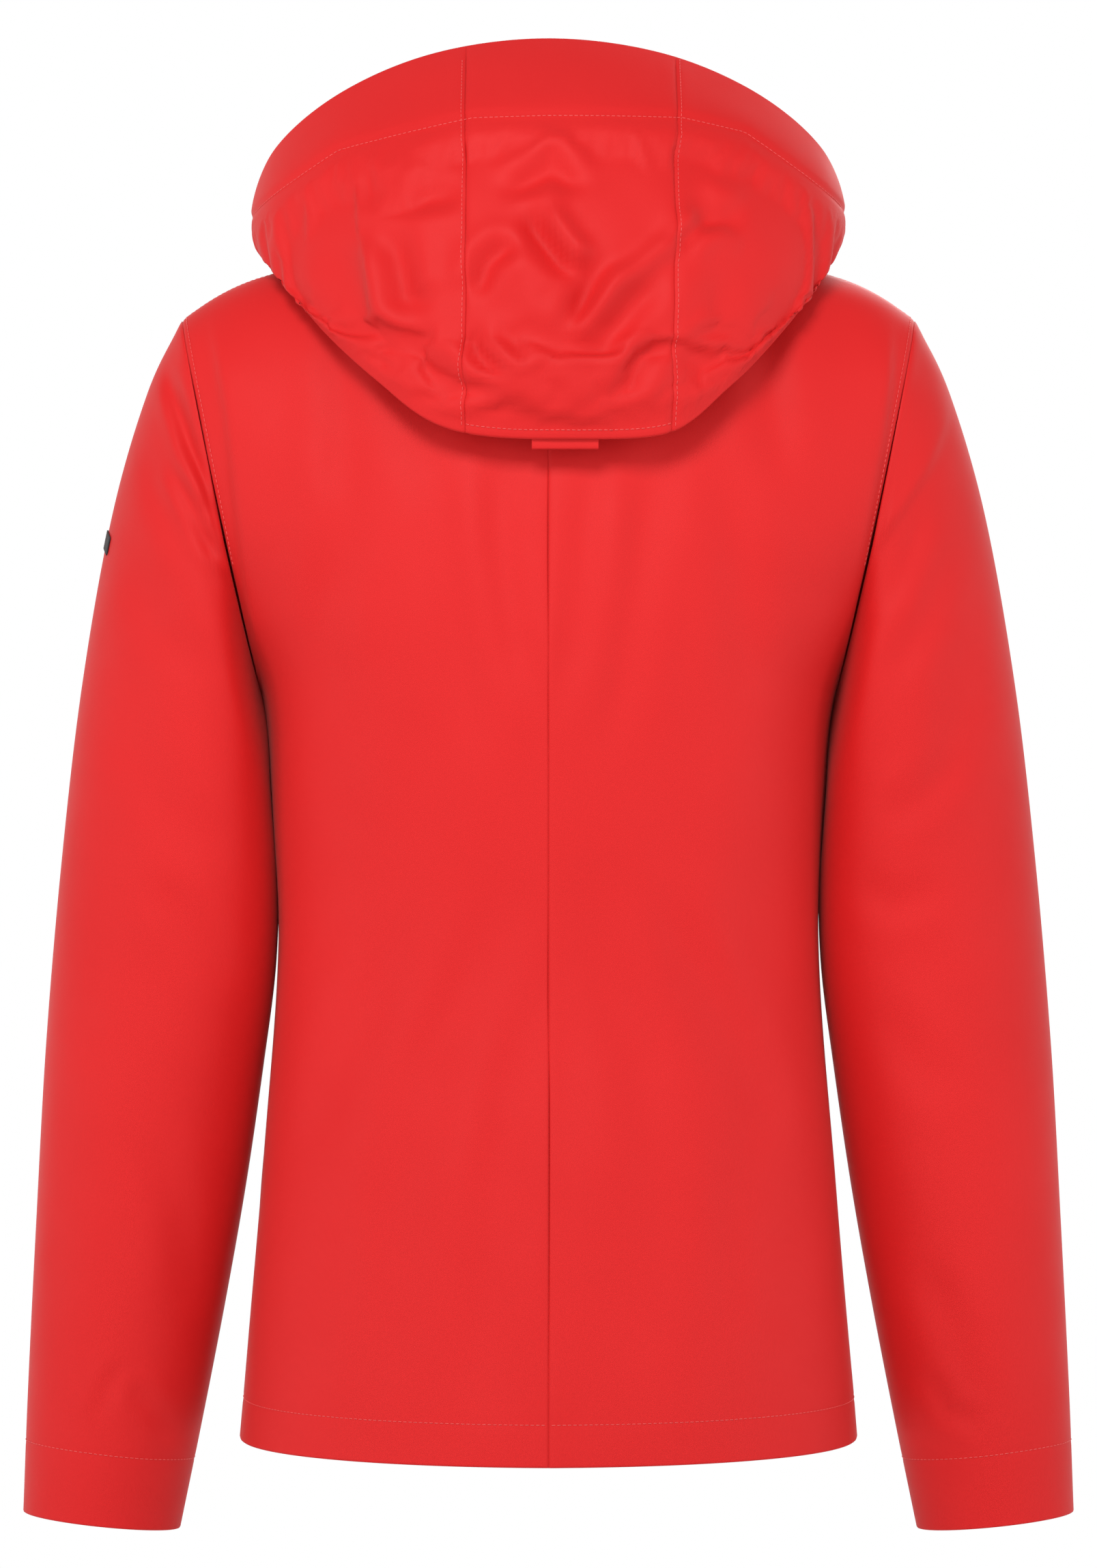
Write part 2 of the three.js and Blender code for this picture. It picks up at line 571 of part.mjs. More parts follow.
// ---------- hood ----------
const [seamRight, seamLeft] = HOOD_SEAMS;
const hoodColumns = {
  right: even(10, -1, seamRight),
  centre: even(4, seamRight, seamLeft),
  left: even(10, seamLeft, 1),
};
// The same columns, with the two outer ones drawn in by half the gap of a seam.
const within = (us) => [us[0] + HOOD_SEAM_GAP, ...us.slice(1, -1), us.at(-1) - HOOD_SEAM_GAP];
const hoodCore = () => new THREE.Vector3(0, 15, 0);
const hoodPiece = (us, vs, from, to) => sheet({ at: hoodAt, us, vs, from, to, core: hoodCore });
piece("hood_centre_panel", hoodPiece(within(hoodColumns.centre), even(8), 0, WALL), shellRed);
piece("hood_side_panel_left", hoodPiece(within(hoodColumns.left), even(8), 0, WALL), shellRed);
piece("hood_side_panel_right", hoodPiece(within(hoodColumns.right), even(8), 0, WALL), shellRed);
const rimColumns = [...hoodColumns.right, ...hoodColumns.centre.slice(1), ...hoodColumns.left.slice(1)];
piece(
  "hood_rim_facing",
  hoodPiece(rimColumns.slice(1, -1), [0.01, 0.125, 0.25], WALL + 0.6, WALL + 0.6 + FACING),
  facingRed,
);
piece(
  "hood_under_panel",
  sheet({
    at: underAt,
    us: even(26, -UNDER_END, UNDER_END),
    vs: even(3),
    to: FACING,
    core: () => new THREE.Vector3(0, 0, -300),
  }),
  shellRed,
);
const loopTab = box(-27, 9, 124.8, 129.2, -104, -95.5);
piece("hood_loop_tab", cut(loopTab, box(-28, 10, 125.6, 128.4, -103.2, -96.3)), shellRed);

export default jacket;
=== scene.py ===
"""The looks of a women's hooded hardshell jacket, hung in its worn shape, around its CAD frame.

Shapes are worked out in millimetres, in the jacket's own frame, where the seat of the hanger loop
is at SEAT. Meshes are made in metres with that seat at the origin.
"""

import math

import bpy
import numpy as np
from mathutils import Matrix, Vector


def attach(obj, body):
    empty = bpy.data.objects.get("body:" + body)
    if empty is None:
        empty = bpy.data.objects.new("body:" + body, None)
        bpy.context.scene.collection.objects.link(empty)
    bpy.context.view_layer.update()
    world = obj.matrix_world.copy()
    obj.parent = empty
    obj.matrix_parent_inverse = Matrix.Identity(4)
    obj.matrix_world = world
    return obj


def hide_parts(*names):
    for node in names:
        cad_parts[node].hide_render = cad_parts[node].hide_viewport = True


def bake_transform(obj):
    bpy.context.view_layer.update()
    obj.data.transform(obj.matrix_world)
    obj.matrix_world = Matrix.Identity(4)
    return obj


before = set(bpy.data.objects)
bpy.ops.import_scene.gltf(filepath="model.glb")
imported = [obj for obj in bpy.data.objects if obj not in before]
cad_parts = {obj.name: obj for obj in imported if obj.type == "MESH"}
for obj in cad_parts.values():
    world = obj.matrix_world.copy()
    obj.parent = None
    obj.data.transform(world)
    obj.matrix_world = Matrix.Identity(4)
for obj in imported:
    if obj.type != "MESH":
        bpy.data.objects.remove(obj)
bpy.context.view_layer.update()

# ---------- driving dimensions, in mm ----------
SEAT = np.array([0.0, 56.0, 12.0])
MM = 0.001
HEM_Z = -652
HEM_SIDE_RISE = 6
ARMPIT_Z = -232
CHEST_Z = -250
NECK_HALF = 78
NECK_SIDE_Z = 22
FRONT_NECK_DROP = 80
PLAN_POWER = 2.3
SHOULDER_POWER = 2.6
FRONT_HEM_Y = -124
COLLAR_TOP_Z = 14
COLLAR_BACK_Z = 42
COLLAR_INSET = 0.955
FRONT_TOP_Y = -97
FRONT_OPENING = 5
ARMHOLE_SLOPE = 0.212
SEAM = 0.2
GAP = 0.4
WALL = 1.6
FACING = 1.2
CLOTH = 0.7  # thickness of one layer of the outer fabric
GRID = 3.2  # spacing of the cloth's mesh
HEM_DEPTH = 22
CUFF_DEPTH = 40
STITCH_PITCH = 2.9
STITCH_LENGTH = 2.1
THREAD_RADIUS = 0.26

SIDES = {"left": 1, "right": -1}


# ---------- maths ----------
def lerp(a, b, t):
    return a + (b - a) * t


def smooth(t):
    t = np.clip(t, 0, 1)
    return t * t * (3 - 2 * t)


def rounded(t, power):
    return np.maximum(0, 1 - np.abs(t) ** power) ** (1 / power)


def through(pairs):
    """A smooth function through (position, value) pairs."""
    xs = np.array([p[0] for p in pairs], float)
    ys = np.array([p[1] for p in pairs], float)
    count = len(xs)
    before = np.maximum(np.arange(count) - 1, 0)
    after = np.minimum(np.arange(count) + 1, count - 1)
    slopes = (ys[after] - ys[before]) / (xs[after] - xs[before])

    def value(x):
        x = np.asarray(x, float)
        i = np.searchsorted(xs[1:-1], x, side="left")
        h = xs[i + 1] - xs[i]
        t = np.clip((x - xs[i]) / h, 0, 1)
        bend = t * (1 - t) * h
        return lerp(ys[i], ys[i + 1], smooth(t)) + bend * ((1 - t) * slopes[i] - t * slopes[i + 1])

    return value


def path(points):
    """A curve through points of any size, evenly spaced in t from 0 to 1."""
    last = len(points) - 1
    axes = [through([(i / last, p[k]) for i, p in enumerate(points)]) for k in range(len(points[0]))]
    return lambda t: np.stack([f(t) for f in axes], axis=-1)


def shares(length, step=GRID, fine=(0.5, 1.1, 2.0, 3.2)):
    """Positions 0 to 1 along a length, with finer steps at both ends."""
    ends = np.array([0.0, *fine])
    count = max(2, int((length - 2 * ends[-1]) / step))
    middle = np.linspace(ends[-1], length - ends[-1], count + 1)[1:-1]
    return np.concatenate([ends, middle, length - ends[::-1]]) / length


def unit(v):
    return v / np.maximum(np.linalg.norm(v, axis=-1, keepdims=True), 1e-9)


def point(x, y, z):
    return np.stack(np.broadcast_arrays(x, y, z), axis=-1).astype(float)


# ---------- the body ----------
half_width = through([(-652, 172), (-500, 159), (-370, 150), (-290, 154), (-232, 160),
                      (-185, 181), (-140, 209), (-60, 240), (60, 262)])
back_depth = through([(-652, 125), (-500, 118), (-370, 106), (-232, 118), (-100, 118), (20, 108)])


def shoulder_z(x):
    return NECK_SIDE_Z - 0.3 * (x - NECK_HALF) - 0.006 * np.maximum(0, x - 160) ** 2


def closing(x, z):
    return np.where(z > CHEST_Z, rounded((z - CHEST_Z) / (shoulder_z(x) - CHEST_Z) * (z > CHEST_Z), SHOULDER_POWER), 1)


def front_line_y(z):
    return lerp(FRONT_HEM_Y, FRONT_TOP_Y, (z - HEM_Z) / (COLLAR_TOP_Z - HEM_Z))


def back_y(x, z):
    return back_depth(z) * rounded(x / half_width(z), PLAN_POWER) * closing(x, z)


def front_y(x, z):
    return front_line_y(z) / closing(0, z) * rounded(x / half_width(z), PLAN_POWER) * closing(x, z)


def armhole_x(z):
    return 160 + ARMHOLE_SLOPE * (z - ARMPIT_Z)


def side_x(z):
    return np.where(z > ARMPIT_Z, armhole_x(z), half_width(z))


def neck_back_z(x):
    return NECK_SIDE_Z * np.clip(x / NECK_HALF, 0, 1) ** 2.5


def neck_front_z(x):
    return NECK_SIDE_Z - FRONT_NECK_DROP * np.maximum(0, 1 - (x / NECK_HALF) ** 2) ** 0.55


def body_x(u, z):
    a = half_width(z)
    edge = np.where(z > ARMPIT_Z, np.minimum(1, armhole_x(z) / a), 1)
    widest = np.arcsin(edge ** (PLAN_POWER / 2))
    return a * np.sin(u * widest) ** (2 / PLAN_POWER)


def body_top(u, neck_z):
    lo = np.full(np.shape(u), float(ARMPIT_Z))
    hi = np.full(np.shape(u), 60.0)
    for _ in range(40):
        z = (lo + hi) / 2
        x = body_x(u, z)
        inside = z < np.where(x < NECK_HALF, neck_z(x), shoulder_z(x))
        lo = np.where(inside, z, lo)
        hi = np.where(inside, hi, z)
    return lo


def body_z(x, y):
    """Height of the body's surface above a plan point beside the neck."""
    lo, hi = float(CHEST_Z), float(shoulder_z(x))
    for _ in range(40):
        z = (lo + hi) / 2
        depth = back_y(x, z) if y > 0 else -front_y(x, z)
        if depth > abs(y):
            lo = z
        else:
            hi = z
    return lo


def hem_z(u):
    return HEM_Z + HEM_SIDE_RISE * u**1.3


def panel_grid(us, vs, neck_z, surface_y):
    """Half of the body, from the centre out to the side or armhole and from the hem up."""
    top = body_top(us, neck_z)[None, :]
    u, v = us[None, :], vs[:, None]
    z = lerp(hem_z(u), top, 1 - (1 - v) ** 1.8)
    x = body_x(u, z)
    return point(x, surface_y(x, z), z)


def back_grid(us, vs):
    grid = panel_grid(us, vs, neck_back_z, back_y)
    grid[..., 0] = np.clip(grid[..., 0], SEAM, side_x(grid[..., 2]))
    grid[..., 1] = np.maximum(grid[..., 1], SEAM)
    return grid


def front_grid(us, vs):
    grid = panel_grid(us, vs, neck_front_z, front_y)
    grid[..., 0] = np.clip(grid[..., 0], FRONT_OPENING + EDGE_ROLL + 0.2, side_x(grid[..., 2]))
    grid[..., 1] = np.minimum(grid[..., 1], -SEAM)
    return grid


# ---------- the sleeve ----------
TIP_Z = float(body_top(np.array([1.0]), neck_back_z)[0])
SHOULDER_TIP = (float(armhole_x(TIP_Z)), TIP_Z)
sleeve_outer = path([(SHOULDER_TIP[0] + GAP, TIP_Z), (223, -66.5), (243, -135), (260, -230),
                     (271.8, -330), (280.6, -430), (286.5, -530), (291.3, -620), (294.3, -690.5)])
sleeve_inner = path([(160 + GAP, ARMPIT_Z), (154, -285), (150.5, -335), (151.8, -385), (158.8, -440),
                     (168.5, -505), (180.4, -572), (193.8, -640), (206.3, -700)])
sleeve_depth = path([(62,), (68,), (66,), (62,), (59,), (56,), (52,), (47,), (42,)])
sleeve_forward = path([(0,), (0,), (-2,), (-5,), (-9,), (-14,), (-19,), (-24,), (-28,)])
ARMHOLE_JOIN = 0.16


def sleeve_at(w, turn):
    """w runs from the armhole (0) to the cuff (1); turn is 0 outside, a quarter turn at the back."""
    w, turn = np.broadcast_arrays(np.asarray(w, float), np.asarray(turn, float))
    outer, inner = sleeve_outer(w), sleeve_inner(w)
    out = (1 + np.cos(turn)) / 2
    back = np.sin(turn) > 0
    hole_z = lerp(ARMPIT_Z, TIP_Z, out)
    hole_x = armhole_x(hole_z)
    hole = np.where(back, back_y(hole_x, hole_z), -front_y(hole_x, hole_z))
    oval = sleeve_depth(w)[..., 0] * np.abs(np.sin(turn))
    depth = lerp(hole, oval, smooth(w / ARMHOLE_JOIN))
    y = sleeve_forward(w)[..., 0] + np.where(back, depth, -depth)
    return point(lerp(inner[..., 0], outer[..., 0], out), y, lerp(inner[..., 1], outer[..., 1], out))


def sleeve_middle(w):
    outer, inner = sleeve_outer(w), sleeve_inner(w)
    return point((outer[..., 0] + inner[..., 0]) / 2, sleeve_forward(w)[..., 0], (outer[..., 1] + inner[..., 1]) / 2)


# ---------- the hood ----------
def on_body(x, y, lift):
    return (x, y, body_z(x, y) + lift)


def around_hood(half):
    """A curve given from the centre back to the left front end, mirrored to run all the way round."""
    mirrored = [(-x, y, z) for x, y, z in half[:0:-1]]
    whole = path(mirrored + half)
    return lambda t: whole((np.asarray(t, float) + 1) / 2)


rim = around_hood([(0, 40, 126.5), (62, 38, 118.8), (114, 30, 98), (151, 14, 69), (164.5, -8, 38),
                   (160, -34, 22), (140, -62, 15), (100, -88, 11), (52, -106, -8)])
bulge = around_hood([(0, 128, 24), (62, 122, 22), (112, 100, 17), (148, 64, 14), (162.5, 18, 16),
                     (157.5, -20, 13), (141, -54, 9), (101, -83, 5), (52, -104, -20)])
fold = around_hood([(0, 132, -97.5), (60, 128, -93), (96, 115, -67), (126, 90, -37), (149, 50, -6),
                    on_body(151, 4, 3.5), on_body(138, -38, 6), on_body(99, -68, 7.5), (52, -99, -33)])
neck_seam = around_hood([on_body(0, 82, 6), on_body(32, 79, 6), on_body(60, 64, 6), on_body(80, 36, 6),
                         on_body(87, 2, 7.5), on_body(87, -32, 7.5), on_body(82, -58, 6), on_body(68, -84, 6),
                         (53, -98, -34)])
HOOD_SEAMS = (-0.143, 0.09)
HOOD_TURN = 0.03  # the fold hangs turned towards the wearer's right
UNDER_END = 0.86
GORES = 32
FLATTEST_GORE = 0.01


def hood_at(t, s):
    t, s = np.broadcast_arrays(np.asarray(t, float), np.asarray(s, float))
    hung = t + HOOD_TURN * s * (1 - np.abs(t)) ** 2
    r, b, f = (np.concatenate([curve(t)[..., :1], curve(hung)[..., 1:]], axis=-1) for curve in (rim, bulge, fold))
    s = s[..., None]
    pull = 2 * b - (r + f) / 2
    return (1 - s) ** 2 * r + 2 * s * (1 - s) * pull + s * s * f


# ---------- folds pressed into the cloth ----------
def along(points, x, z):
    """Signed distance of each (x, z) from a line of points, and how far along it, 0 to 1."""
    points = np.asarray(points, float)
    lengths = np.linalg.norm(np.diff(points, axis=0), axis=1)
    starts = np.concatenate([[0], np.cumsum(lengths)])
    best = np.full(x.shape, 1e9)
    signed = np.zeros(x.shape)
    share = np.zeros(x.shape)
    for i, length in enumerate(lengths):
        ax, az = points[i]
        dx, dz = (points[i + 1] - points[i]) / length
        t = np.clip((x - ax) * dx + (z - az) * dz, 0, length)
        ox, oz = x - ax - t * dx, z - az - t * dz
        d = np.hypot(ox, oz)
        near = d < best
        side = np.where(dx * oz - dz * ox >= 0, 1, -1)
        best = np.where(near, d, best)
        signed = np.where(near, d * side, signed)
        share = np.where(near, (starts[i] + t) / starts[-1], share)
    return signed, share


def valley(points, depth, width, shoulder=0.5, taper=0.3):
    """A crease between two soft shoulders, fading out at both ends."""

    def height(x, z):
        d, share = along(points, x, z)
        fade = smooth(share / taper) * smooth((1 - share) / taper) if taper else 1
        beside = np.exp(-(((np.abs(d) - 1.9 * width) / width) ** 2))
        return depth * fade * (shoulder * beside - np.exp(-((d / width) ** 2)))

    return height


def ridge(points, depth, width, taper=0.3):
    line = valley(points, -depth, width, 0.3, taper)
    return line


def drop(points, depth, width, reach, taper=0.25):
    """Cloth that stands proud on the line's left side, falls away at the line and fades over reach."""

    def height(x, z):
        d, share = along(points, x, z)
        fade = smooth(share / taper) * smooth((1 - share) / taper)
        step = 0.5 + 0.5 * np.tanh(d / width)
        return depth * fade * step * np.exp(-np.maximum(d, 0) / reach)

    return height


def drape(x, z, amount, seed):
    """Soft, mostly upright undulation of hanging cloth."""
    rng = np.random.default_rng(seed)
    total = np.zeros(np.shape(x))
    for _ in range(7):
        across, up = rng.uniform(45, 130), rng.uniform(150, 420)
        lean = rng.uniform(-0.35, 0.35)
        phase = rng.uniform(0, 2 * math.pi, 2)
        total += np.sin((x + lean * z) * 2 * math.pi / across + phase[0]) * np.sin(z * 2 * math.pi / up + phase[1])
    return amount * total / 7


def seam_dip(distance, depth=0.55, width=0.9):
    """The cloth dips at a seam and stands up a little beside it, over the seam allowance."""
    return 0.35 * depth * np.exp(-(((distance - 5) / 3.5) ** 2)) - depth * np.exp(-((distance / width) ** 2))


def stitch_dip(distance, depth=0.3, width=1.0):
    return -depth * np.exp(-((distance / width) ** 2))


def run(grid, axis):
    """Distance of each point of a grid from its first row (axis 0) or column (axis 1)."""
    steps = np.linalg.norm(np.diff(grid, axis=axis), axis=-1)
    zero = np.zeros_like(steps.take([0], axis=axis))
    return np.concatenate([zero, np.cumsum(steps, axis=axis)], axis=axis)


def normals_of(grid, core, around=False):
    """Unit normals that point away from core."""
    if around:
        across = np.roll(grid[:, :-1], -1, axis=1) - np.roll(grid[:, :-1], 1, axis=1)
        across = np.concatenate([across, across[:, :1]], axis=1)
    else:
        across = np.gradient(grid, axis=1)
    normals = unit(np.cross(across, np.gradient(grid, axis=0)))
    away = np.sum(normals * (grid - core), axis=-1, keepdims=True)
    return normals * np.where(away < 0, -1, 1)


# ---------- meshes ----------
def object_of(name, vertices, faces, material):
    mesh = bpy.data.meshes.new(name)
    mesh.from_pydata(((np.asarray(vertices) - SEAT) * MM).tolist(), [], faces)
    mesh.polygons.foreach_set("use_smooth", [True] * len(mesh.polygons))
    mesh.update()
    obj = bpy.data.objects.new(name, mesh)
    bpy.context.collection.objects.link(obj)
    mesh.materials.append(material)
    return obj


def grid_faces(rows, columns, around=False):
    j, i = np.meshgrid(np.arange(rows - 1), np.arange(columns if around else columns - 1), indexing="ij")
    right = (i + 1) % columns
    return np.stack([j * columns + i, j * columns + right, (j + 1) * columns + right, (j + 1) * columns + i], axis=-1).reshape(-1, 4)


def cloth(name, grid, core, material, thickness=CLOTH, around=False, mirror=1, inward=True):
    """A sheet of cloth of one thickness whose outer face is the grid."""
    columns = grid.shape[1] - 1 if around else grid.shape[1]
    vertices = grid[:, :columns].reshape(-1, 3) * (mirror, 1, 1)
    faces = grid_faces(grid.shape[0], columns, around)
    a, b, c = (vertices[faces[:, k]] for k in (0, 1, 2))
    middle = vertices[faces].mean(axis=1)
    core = np.broadcast_to(np.asarray(core, float) * (mirror, 1, 1), grid.shape)[:, :columns].reshape(-1, 3)
    outward = np.sum(np.cross(b - a, c - b) * (middle - core[faces].mean(axis=1)))
    if outward < 0:
        faces = faces[:, ::-1]
    obj = object_of(name, vertices, faces.tolist(), material)
    solid = obj.modifiers.new("thickness", "SOLIDIFY")
    solid.thickness = thickness * MM
    solid.offset = -1 if inward else 0
    return obj


def capsules(name, starts, ends, radius, material, sides=6):
    """Short rounded rods from starts to ends, as one mesh."""
    starts, ends = np.asarray(starts), np.asarray(ends)
    axis = unit(ends - starts)
    helper = np.where(np.abs(axis[:, :1]) < 0.8, [[1.0, 0, 0]], [[0, 1.0, 0]])
    u = unit(np.cross(axis, helper))
    v = np.cross(axis, u)
    rings = []
    for share, scale in ((0, 0.35), (0.14, 0.9), (0.5, 1), (0.86, 0.9), (1, 0.35)):
        for k in range(sides):
            turn = 2 * math.pi * k / sides
            rings.append(lerp(starts, ends, share) + scale * radius * (math.cos(turn) * u + math.sin(turn) * v))
    vertices = np.stack(rings, axis=1)
    count = vertices.shape[1]
    one = grid_faces(count // sides, sides, around=True).tolist()
    caps = [list(range(sides))[::-1], list(range(count - sides, count))]
    faces = [[k + n * count for k in face] for n in range(len(vertices)) for face in one + caps]
    return object_of(name, vertices.reshape(-1, 3), faces, material)


def sampled(grid, rows, columns):
    """Points of a grid at fractional row and column numbers."""
    rows = np.clip(rows, 0, grid.shape[0] - 1.001)
    columns = np.clip(columns, 0, grid.shape[1] - 1.001)
    j, i = rows.astype(int), columns.astype(int)
    fj, fi = (rows - j)[:, None], (columns - i)[:, None]
    low = lerp(grid[j, i], grid[j, i + 1], fi)
    high = lerp(grid[j + 1, i], grid[j + 1, i + 1], fi)
    return lerp(low, high, fj)


def stitched(name, line, normals, material, mirror=1, gaps=()):
    """Running stitches along a line of points, standing a little out of the cloth."""
    reach = np.concatenate([[0], np.cumsum(np.linalg.norm(np.diff(line, axis=0), axis=1))])
    starts = np.arange(2, reach[-1] - STITCH_PITCH, STITCH_PITCH)
    for low, high in gaps:
        starts = starts[(starts < low * reach[-1]) | (starts > high * reach[-1])]
    at = lambda d: np.stack([np.interp(d, reach, line[:, k]) for k in range(3)], axis=-1)
    lift = np.stack([np.interp(starts, reach, normals[:, k]) for k in range(3)], axis=-1) * 0.16
    size = (mirror, 1, 1)
    return capsules(name, (at(starts) + lift) * size, (at(starts + STITCH_LENGTH) + lift) * size, THREAD_RADIUS, material)


def line_on(grid, normals, axis, distance, from_end=False):
    """A line on a grid at a set distance from one of its edges, and the normals along it."""
    reach = run(grid, axis)
    if from_end:
        reach = reach.take([-1], axis=axis) - reach
    lines = range(grid.shape[1 - axis])
    picks = []
    for k in lines:
        profile = reach[:, k] if axis == 0 else reach[k]
        order = np.arange(len(profile))
        picks.append(np.interp(distance, profile[::-1], order[::-1]) if from_end else np.interp(distance, profile, order))
    picks, lines = np.array(picks), np.array(list(lines), float)
    rows, columns = (picks, lines) if axis == 0 else (lines, picks)
    return sampled(grid, rows, columns), sampled(normals, rows, columns)


# ---------- materials ----------
def wire(tree, source, target):
    tree.links.new(source, target)


def maths(tree, operation, a, b=None):
    node = tree.nodes.new("ShaderNodeMath")
    node.operation = operation
    for socket, value in zip(node.inputs, (a, b)):
        if isinstance(value, (int, float)):
            socket.default_value = value
        elif value is not None:
            wire(tree, value, socket)
    return node.outputs[0]


def noise(tree, scale, detail=3.0, roughness=0.5):
    node = tree.nodes.new("ShaderNodeTexNoise")
    node.inputs["Scale"].default_value = scale
    node.inputs["Detail"].default_value = detail
    node.inputs["Roughness"].default_value = roughness
    wire(tree, place(tree), node.inputs["Vector"])
    return node.outputs["Fac"]


def place(tree):
    return tree.nodes.new("ShaderNodeTexCoord").outputs["Object"]


def weave_height(tree, pitch):
    """Plain weave on whichever plane a surface faces, pitch in mm."""
    where = tree.nodes.new("ShaderNodeSeparateXYZ")
    facing = tree.nodes.new("ShaderNodeSeparateXYZ")
    wire(tree, place(tree), where.inputs[0])
    wire(tree, tree.nodes.new("ShaderNodeNewGeometry").outputs["Normal"], facing.inputs[0])
    turns = 2 * math.pi / (pitch * MM)
    waves = [maths(tree, "SINE", maths(tree, "MULTIPLY", where.outputs[k], turns)) for k in range(3)]
    total = None
    for k, (a, b) in enumerate(((1, 2), (0, 2), (0, 1))):
        weight = maths(tree, "MULTIPLY", facing.outputs[k], facing.outputs[k])
        part = maths(tree, "MULTIPLY", weight, maths(tree, "MULTIPLY", waves[a], waves[b]))
        total = part if total is None else maths(tree, "ADD", total, part)
    return total


def bump(tree, height, strength, distance, previous=None):
    node = tree.nodes.new("ShaderNodeBump")
    node.inputs["Strength"].default_value = strength
    node.inputs["Distance"].default_value = distance * MM
    wire(tree, height, node.inputs["Height"])
    if previous is not None:
        wire(tree, previous, node.inputs["Normal"])
    return node.outputs["Normal"]


def blended_colour(tree, factor, low, high):
    ramp = tree.nodes.new("ShaderNodeValToRGB")
    ramp.color_ramp.elements[0].position = 0.3
    ramp.color_ramp.elements[1].position = 0.7
    ramp.color_ramp.elements[0].color = (*low, 1)
    ramp.color_ramp.elements[1].color = (*high, 1)
    wire(tree, factor, ramp.inputs[0])
    return ramp.outputs[0]


def material(name, low, high, roughness, patches, grain, weave=None, sheen=0.0, metallic=0.0, specular=0.5):
    """low and high are the colours that patches (spots per metre) vary between.

    grain is (spots per metre, strength, depth in mm), weave is (pitch in mm, strength, depth in mm).
    """
    made = bpy.data.materials.new(name)
    made.use_nodes = True
    tree = made.node_tree
    shader = tree.nodes["Principled BSDF"]
    wire(tree, blended_colour(tree, noise(tree, patches), low, high), shader.inputs["Base Color"])
    spread = maths(tree, "MULTIPLY_ADD", noise(tree, patches * 6), 0.12)
    spread.node.inputs[2].default_value = roughness - 0.06
    wire(tree, spread, shader.inputs["Roughness"])
    shader.inputs["Metallic"].default_value = metallic
    shader.inputs["Specular IOR Level"].default_value = specular
    shader.inputs["Sheen Weight"].default_value = sheen
    shader.inputs["Sheen Roughness"].default_value = 0.45
    shader.inputs["Sheen Tint"].default_value = (1, 0.62, 0.55, 1)
    normal = bump(tree, noise(tree, grain[0], 4.0), grain[1], grain[2])
    if weave:
        normal = bump(tree, weave_height(tree, weave[0]), weave[1], weave[2], normal)
    wire(tree, normal, shader.inputs["Normal"])
    return made


SHELL = material("shell_cloth", (0.61, 0.0115, 0.012), (0.645, 0.0135, 0.014), 0.6, 7, (420, 0.25, 0.25),
                 (0.9, 0.35, 0.06), sheen=0.07, specular=0.2)
LINING = material("facing_cloth", (0.5, 0.013, 0.018), (0.54, 0.016, 0.021), 0.62, 9, (300, 0.25, 0.2),
                  (1.2, 0.4, 0.06), sheen=0.1, specular=0.3)
THREAD = material("stitch_thread", (0.7, 0.05, 0.05), (0.76, 0.07, 0.065), 0.5, 300, (2500, 0.5, 0.05), sheen=0.2)
TRIM = material("dark_trim_cloth", (0.028, 0.03, 0.033), (0.04, 0.043, 0.047), 0.75, 60, (900, 0.5, 0.3),
                (0.8, 0.7, 0.12), sheen=0.1, specular=0.3)
LOOPS = material("loop_pile", (0.02, 0.022, 0.024), (0.05, 0.053, 0.057), 0.9, 900, (1800, 1.0, 0.6), sheen=0.3,
                 specular=0.2)
TAPE = material("zip_tape_cloth", (0.42, 0.012, 0.016), (0.47, 0.015, 0.019), 0.5, 30, (600, 0.3, 0.1),
                (0.7, 0.6, 0.1), sheen=0.05, specular=0.4)
COIL = material("zip_coil_plastic", (0.4, 0.012, 0.016), (0.46, 0.016, 0.02), 0.35, 200, (1500, 0.2, 0.03))
PLASTIC = material("dark_plastic", (0.012, 0.013, 0.014), (0.018, 0.019, 0.02), 0.42, 120, (2200, 0.3, 0.05))
METAL = material("dark_lacquer", (0.05, 0.052, 0.056), (0.075, 0.078, 0.083), 0.32, 150, (1300, 0.25, 0.03),
                 metallic=0.85)
PULL = material("pull_rubber", (0.013, 0.013, 0.015), (0.02, 0.02, 0.022), 0.55, 150, (1900, 0.4, 0.08))

# ---------- how pieces are placed ----------
def place_on(obj, body, slot, *nodes):
    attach(obj, body)
    if nodes:
        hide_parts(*nodes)


def place_between(obj, bodies, line, slot, *nodes):
    """Bakes the piece where it stands and hides the given nodes, without bending it. line, where a bending would start
    and end in the jacket's frame, is not used.
    """
    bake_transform(obj)
    if nodes:
        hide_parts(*nodes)


NARROWEST_SHEET = 0.01


def declare(obj, grid, held, *rests_on):
    """Works out what size of cloth a piece was cut from, measured along its grid; the sizes are kept nowhere."""
    width = run(grid, 1)[:, -1].max() * MM
    length = run(grid, 0)[-1].max() * MM
    u = grid[1:, :-1] - grid[:-1, :-1]
    v = grid[:-1, 1:] - grid[:-1, :-1]
    area = np.linalg.norm(np.cross(u, v), axis=-1).sum() * MM * MM
    area = float(np.clip(area, 0.3 * width * length, width * length))
    if min(width, length) < NARROWEST_SHEET:
        return


